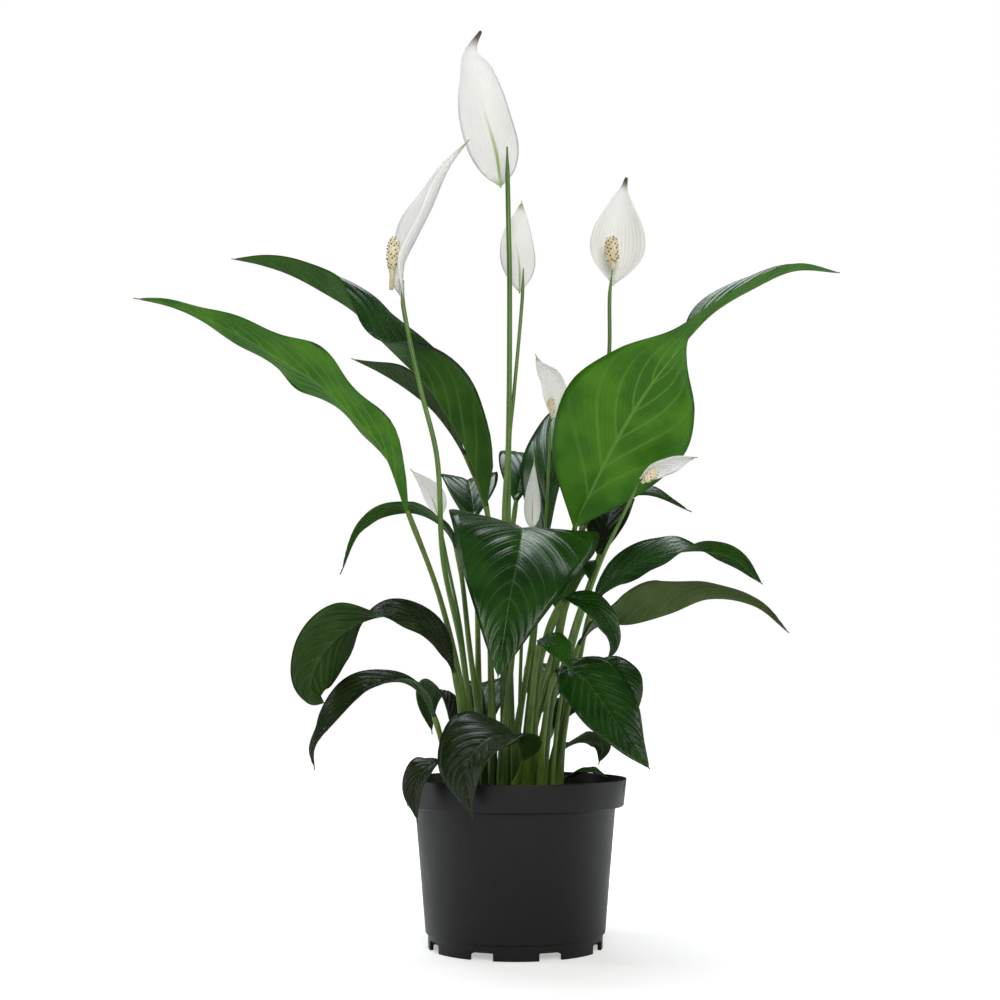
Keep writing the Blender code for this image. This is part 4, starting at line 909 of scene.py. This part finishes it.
def potMaterial():
    material, tree, sockets = newMaterial("potPlastic")
    sockets["Specular IOR Level"].default_value = 0.32
    patches = useGroup(tree, mottle, Scale=26.0, **{"Speck Scale": 1400.0})
    scuffs = addNode(tree, "ShaderNodeTexNoise", Scale=90.0, Detail=6.0, Roughness=0.7)
    tree.links.new(addNode(tree, "ShaderNodeTexCoord").outputs["Object"], scuffs.inputs["Vector"])
    scuff = ramp(tree, scuffs.outputs["Fac"], 0.0, 0.5, 0.62, 0.80)
    colour = mixColour(tree, scuff, potShape["plastic"], potShape["plasticWorn"])
    wire(tree, colour, sockets["Base Color"])
    rough = maths(tree, "MULTIPLY_ADD", patches["Blotch"], 0.07, 0.36)
    wire(tree, maths(tree, "MULTIPLY_ADD", scuff, 0.15, rough), sockets["Roughness"])
    wire(tree, addBump(tree, patches["Speck"], 0.25, 0.00012), sockets["Normal"])
    return material


def roundedProfile(corners):        # each corner (radius, height, round) becomes a short arc
    points = []
    for index, (x, z, rounding) in enumerate(corners):
        spot = Vector((x, z))
        if not rounding:
            points.append(spot)
            continue
        before = Vector(corners[index - 1][:2]) - spot
        after = Vector(corners[(index + 1) % len(corners)][:2]) - spot
        entry = spot + before.normalized() * min(rounding, before.length * 0.45)
        leave = spot + after.normalized() * min(rounding, after.length * 0.45)
        for step in range(5):
            t = step / 4
            points.append(entry * (1 - t) ** 2 + spot * 2 * t * (1 - t) + leave * t ** 2)
    return points


def buildPot():
    pot = potShape
    bandFoot = potHeight - pot["bandDepth"]
    bandRadius = rimRadius - pot["bandTaper"]
    shoulder = bandRadius - pot["shoulderInset"]
    step = pot["footRadius"] + pot["stepWidth"]
    wall = pot["wall"]
    floorTop = pot["floorRaise"] + wall
    ledge = pot["stepHeight"] + wall
    corners = [
        (rimRadius, potHeight, pot["lip"]),
        (bandRadius, bandFoot, 0.0009),
        (shoulder, bandFoot - wall * 0.5, 0.0010),
        (step, pot["stepHeight"], 0.0006),
        (pot["footRadius"], pot["stepHeight"] - 0.0006, 0.0004),
        (pot["footRadius"] - 0.0003, 0, 0.0005),
        (pot["footRadius"] - pot["footWidth"], 0, 0.0005),
        (pot["footRadius"] - pot["footWidth"], pot["floorRaise"], 0.0008),
        (0, pot["floorRaise"], 0),
        (0, floorTop, 0),
        (pot["footRadius"] - wall, floorTop, 0.0012),
        (pot["footRadius"] - wall, ledge, 0.0005),
        (step - wall, ledge + pot["stepWidth"], 0.0005),
        (shoulder - wall, bandFoot + wall, 0.0010),
        (bandRadius - wall, bandFoot + wall * 1.4, 0.0010),
        (rimRadius - wall, potHeight, 0.0005),
    ]
    profile = roundedProfile(corners)
    turns = pot["turns"]
    body = bmesh.new()
    rings = []
    for spot in profile:
        if spot.x < 1e-6:
            rings.append([body.verts.new((0, 0, spot.y))] * turns)
            continue
        rings.append([body.verts.new((spot.x * math.cos(turn), spot.x * math.sin(turn), spot.y))
                      for turn in (2 * math.pi * i / turns for i in range(turns))])
    for ring, following in zip(rings, rings[1:] + rings[:1]):
        for i in range(turns):
            j = (i + 1) % turns
            corner = list(dict.fromkeys((ring[i], following[i], following[j], ring[j])))
            if len(corner) > 2:
                body.faces.new(corner)
    bmesh.ops.recalc_face_normals(body, faces=body.faces)
    mesh = bpy.data.meshes.new("potShell")
    body.to_mesh(mesh)
    body.free()
    shell = bpy.data.objects.new("nurseryPot", mesh)
    bpy.context.scene.collection.objects.link(shell)
    for tool in (archTool(), slotTool()):
        bpy.context.scene.collection.objects.link(tool)
        boolean = shell.modifiers.new("cut", "BOOLEAN")
        boolean.object = tool
        boolean.operation = "DIFFERENCE"
        settleModifiers(shell)
        bpy.data.objects.remove(tool)
    shell.data.materials.clear()
    shell.data.materials.append(potMaterial())
    shell.data.shade_smooth()
    shell.data.set_sharp_from_angle(angle=math.radians(50))
    return finishPiece(shell, ("pot",))


def settleModifiers(obj):
    graph = bpy.context.evaluated_depsgraph_get()
    mesh = bpy.data.meshes.new_from_object(obj.evaluated_get(graph))
    obj.modifiers.clear()
    obj.data = mesh


def archTool():        # one rounded block for each arch in the foot ring
    pot = potShape
    body = bmesh.new()
    for index in range(pot["archCount"]):
        angle = 2 * math.pi * (index + 0.5) / pot["archCount"] - math.pi / 2
        block = bmesh.ops.create_cube(body, size=1)["verts"]
        size = Vector((pot["archReach"] * 2, pot["archWidth"], pot["archHeight"] * 2))
        bmesh.ops.scale(body, verts=block, vec=size)
        top = [edge for edge in {edge for vert in block for edge in vert.link_edges}
               if all(vert.co.z > 0 for vert in edge.verts)
               and abs(edge.verts[0].co.y - edge.verts[1].co.y) < pot["archWidth"] / 2]
        bmesh.ops.rotate(body, verts=block, cent=(0, 0, 0), matrix=Matrix.Rotation(angle, 3, "Z"))
        offset = Vector((math.cos(angle), math.sin(angle), 0)) * pot["footRadius"]
        bmesh.ops.translate(body, verts=block, vec=offset)
        bmesh.ops.bevel(body, geom=top, offset=pot["archRound"], segments=6, profile=0.5, affect="EDGES")
    mesh = bpy.data.meshes.new("arches")
    body.to_mesh(mesh)
    body.free()
    return bpy.data.objects.new("arches", mesh)


def slotTool():
    pot = potShape
    body = bmesh.new()
    bmesh.ops.create_cube(body, size=1)
    bmesh.ops.scale(body, verts=body.verts, vec=(pot["wall"] * 6, pot["slotWidth"], pot["slotHeight"]))
    middle = potHeight - pot["slotBelowRim"] - pot["slotHeight"] / 2
    bmesh.ops.translate(body, verts=body.verts, vec=(rimRadius, 0, middle))
    turn = Matrix.Rotation(math.radians(pot["slotAngle"]), 3, "Z")
    bmesh.ops.rotate(body, verts=body.verts, cent=(0, 0, 0), matrix=turn)
    mesh = bpy.data.meshes.new("slot")
    body.to_mesh(mesh)
    body.free()
    return bpy.data.objects.new("slot", mesh)


buildPot()
print("pot made")


mixShape = {
    "rings": 60, "turns": 144, "lumpHeight": 0.0022, "sink": 0.0014, "crumbs": 900, "perlite": 110,
    "clearance": 0.0004, "footStep": 0.009, "crumbInset": 0.004,
    "peat": (0.020, 0.012, 0.007, 1), "peatLight": (0.060, 0.038, 0.022, 1),
    "bark": (0.075, 0.040, 0.020, 1), "white": (0.70, 0.68, 0.62, 1),
}


def mixMaterial(name, dark, light, scale, rough):
    material, tree, sockets = newMaterial(name, Roughness=rough)
    patches = useGroup(tree, mottle, Scale=scale)
    wire(tree, mixColour(tree, patches["Blotch"], dark, light), sockets["Base Color"])
    wire(tree, addBump(tree, patches["Speck"], 0.8, 0.0006), sockets["Normal"])
    return material


def buildMix():
    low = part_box("potting_mix")[0].z
    inset = potShape["wall"] + mixShape["clearance"]
    bandFoot = potHeight - potShape["bandDepth"] + potShape["wall"]
    shoulder = rimRadius - potShape["bandTaper"] - potShape["shoulderInset"]
    sides = [(shoulder + potShape["shoulderInset"] - inset, bandFoot + 0.0012),
             (shoulder - inset, bandFoot), (potShape["footRadius"] - inset, low + mixShape["footStep"]),
             (potShape["footRadius"] - inset, low)]
    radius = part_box("potting_mix")[1].x
    vertices = [(0, 0, mixTop - mixShape["sink"])]
    turns, rings = mixShape["turns"], mixShape["rings"]
    for i in range(1, rings + 1):
        for j in range(turns):
            turn = 2 * math.pi * j / turns
            reach = radius * 0.995 * i / rings
            x, y = reach * math.cos(turn), reach * math.sin(turn)
            lump = noise.fractal(Vector((x, y, 0.3)) * 140, 0.8, 2.1, 4)
            edge = min(1, (rings - i) / 4)
            height = -mixShape["sink"] + mixShape["lumpHeight"] * 0.5 * lump * edge
            vertices.append((x, y, mixTop + min(height, -0.0002)))
    faces = [(0, 1 + j, 1 + (j + 1) % turns) for j in range(turns)]
    for i in range(rings - 1):
        for j in range(turns):
            k = (j + 1) % turns
            first, second = 1 + i * turns, 1 + (i + 1) * turns
            faces.append((first + j, second + j, second + k, first + k))
    last = 1 + (rings - 1) * turns
    for reach, height in sides:
        base = len(vertices)
        for j in range(turns):
            turn = 2 * math.pi * j / turns
            vertices.append((reach * math.cos(turn), reach * math.sin(turn), height))
        for j in range(turns):
            k = (j + 1) % turns
            faces.append((last + j, base + j, base + k, last + k))
        last = base
    faces.append(tuple(range(base + turns - 1, base - 1, -1)))
    peat = mixMaterial("peat", mixShape["peat"], mixShape["peatLight"], 260.0, 0.95)
    meshObject("pottingMix", vertices, faces, (peat,), ("potting_mix",))

    chance = random.Random(11)
    for name, count, sizes, colours in (
        ("barkCrumbs", mixShape["crumbs"], (0.0008, 0.0026), ("peatLight", "bark")),
        ("perlite", mixShape["perlite"], (0.0008, 0.0019), ("white", "white")),
    ):
        body = bmesh.new()
        for _ in range(count):
            size = chance.uniform(*sizes)
            turn = chance.uniform(0, 2 * math.pi)
            reach = (radius - mixShape["crumbInset"]) * math.sqrt(chance.random())
            crumb = bmesh.ops.create_icosphere(body, subdivisions=1, radius=size)["verts"]
            squash = Vector([chance.uniform(0.5, 1.2) for _ in range(3)])
            bmesh.ops.scale(body, verts=crumb, vec=squash)
            for vert in crumb:
                vert.co *= chance.uniform(0.8, 1.2)
            pole = Vector((turn, 1, reach * 50)).normalized()
            spin = Matrix.Rotation(chance.uniform(0, 6.28), 3, pole)
            bmesh.ops.rotate(body, verts=crumb, cent=(0, 0, 0), matrix=spin)
            spot = (reach * math.cos(turn), reach * math.sin(turn), mixTop - mixShape["sink"] + size * 0.2)
            bmesh.ops.translate(body, verts=crumb, vec=spot)
        mesh = bpy.data.meshes.new(name)
        body.to_mesh(mesh)
        body.free()
        mesh.materials.append(mixMaterial(name, mixShape[colours[0]], mixShape[colours[1]], 300.0, 0.9))
        finishPiece(bpy.data.objects.new(name, mesh))


buildMix()
print("potting mix made")


studio = {
    "floorRadius": 4.0, "floorColour": (0.93, 0.93, 0.93, 1), "floorGrain": (0.85, 0.85, 0.85, 1),
    "glow": 0.44, "glowFrom": 0.10, "glowTo": 0.55, "glowUnseen": 0.15,
    "backdrop": 1.0, "surround": 0.10, "surroundColour": (0.95, 0.97, 1.0, 1),
    "camera": (-0.0116, -1.216, 0.2016), "tilt": 6.47, "lens": 56.5,
    "lights": {
        "topSoftbox": {"place": (-0.25, 0.55, 1.75), "aim": (0, 0, 0.35), "size": (1.3, 1.0),
                       "watts": 21, "colour": (0.90, 0.96, 1.0)},
        "frontFill": {"place": (0.4, -2.1, 1.25), "aim": (0, 0, 0.33), "size": (1.6, 1.2),
                      "watts": 29, "colour": (1.0, 0.98, 0.93)},
        "leftStrip": {"place": (-1.25, 0.05, 0.55), "aim": (0, 0, 0.35), "size": (0.35, 1.4),
                      "watts": 5, "colour": (1.0, 1.0, 1.0)},
        "rightStrip": {"place": (1.3, 0.15, 0.55), "aim": (0, 0, 0.35), "size": (0.35, 1.4),
                       "watts": 4, "colour": (1.0, 1.0, 1.0)},
    },
}


def buildFloor():
    body = bmesh.new()
    bmesh.ops.create_circle(body, segments=96, radius=studio["floorRadius"], cap_ends=True)
    mesh = bpy.data.meshes.new("floor")
    body.to_mesh(mesh)
    body.free()
    material, tree, sockets = newMaterial("floorPaper", Roughness=0.9)
    place = addNode(tree, "ShaderNodeTexCoord").outputs["Object"]
    grain = addNode(tree, "ShaderNodeTexNoise", Scale=300.0)
    tree.links.new(place, grain.inputs["Vector"])
    paper = mixColour(tree, maths(tree, "MULTIPLY", grain.outputs["Fac"], 0.03),
                      studio["floorColour"], studio["floorGrain"])
    wire(tree, paper, sockets["Base Color"])
    length = addNode(tree, "ShaderNodeVectorMath", operation="LENGTH")
    tree.links.new(place, length.inputs[0])
    glow = ramp(tree, length.outputs["Value"], studio["glow"], 1.0, studio["glowFrom"], studio["glowTo"])
    sockets["Emission Color"].default_value = (1, 1, 1, 1)
    seen = tree.nodes.new("ShaderNodeLightPath").outputs["Is Camera Ray"]
    shown = maths(tree, "MULTIPLY_ADD", seen, 1 - studio["glowUnseen"], studio["glowUnseen"])
    wire(tree, maths(tree, "MULTIPLY", glow, shown), sockets["Emission Strength"])
    mesh.materials.append(material)
    floor = bpy.data.objects.new("floor", mesh)
    bpy.context.scene.collection.objects.link(floor)


def buildWorld():
    world = bpy.data.worlds.new("studioWorld")
    world.use_nodes = True
    tree = world.node_tree
    tree.nodes.clear()
    output = tree.nodes.new("ShaderNodeOutputWorld")
    mix = tree.nodes.new("ShaderNodeMixShader")
    rays = tree.nodes.new("ShaderNodeLightPath")
    surround = addNode(tree, "ShaderNodeBackground", Color=studio["surroundColour"],
                       Strength=studio["surround"])
    backdrop = addNode(tree, "ShaderNodeBackground", Color=(1, 1, 1, 1), Strength=studio["backdrop"])
    tree.links.new(rays.outputs["Is Camera Ray"], mix.inputs[0])
    tree.links.new(surround.outputs[0], mix.inputs[1])
    tree.links.new(backdrop.outputs[0], mix.inputs[2])
    tree.links.new(mix.outputs[0], output.inputs["Surface"])
    bpy.context.scene.world = world


def buildLights():
    for name, values in studio["lights"].items():
        lamp = bpy.data.lights.new(name, "AREA")
        lamp.shape = "RECTANGLE"
        lamp.size, lamp.size_y = values["size"]
        lamp.energy = values["watts"]
        lamp.color = values["colour"]
        light = bpy.data.objects.new(name, lamp)
        light.location = values["place"]
        aim = Vector(values["aim"]) - Vector(values["place"])
        light.rotation_euler = aim.to_track_quat("-Z", "Y").to_euler()
        bpy.context.scene.collection.objects.link(light)


def buildCamera():
    lens = bpy.data.cameras.new("camera")
    lens.lens = studio["lens"]
    lens.sensor_width = 36
    lens.clip_start = 0.05
    lens.clip_end = 50
    camera = bpy.data.objects.new("camera", lens)
    camera.location = studio["camera"]
    camera.rotation_euler = (math.radians(90 + studio["tilt"]), 0, 0)
    bpy.context.scene.collection.objects.link(camera)
    bpy.context.scene.camera = camera


buildFloor()
buildWorld()
buildLights()
buildCamera()
bpy.context.scene.view_settings.view_transform = "Standard"
print("studio made")
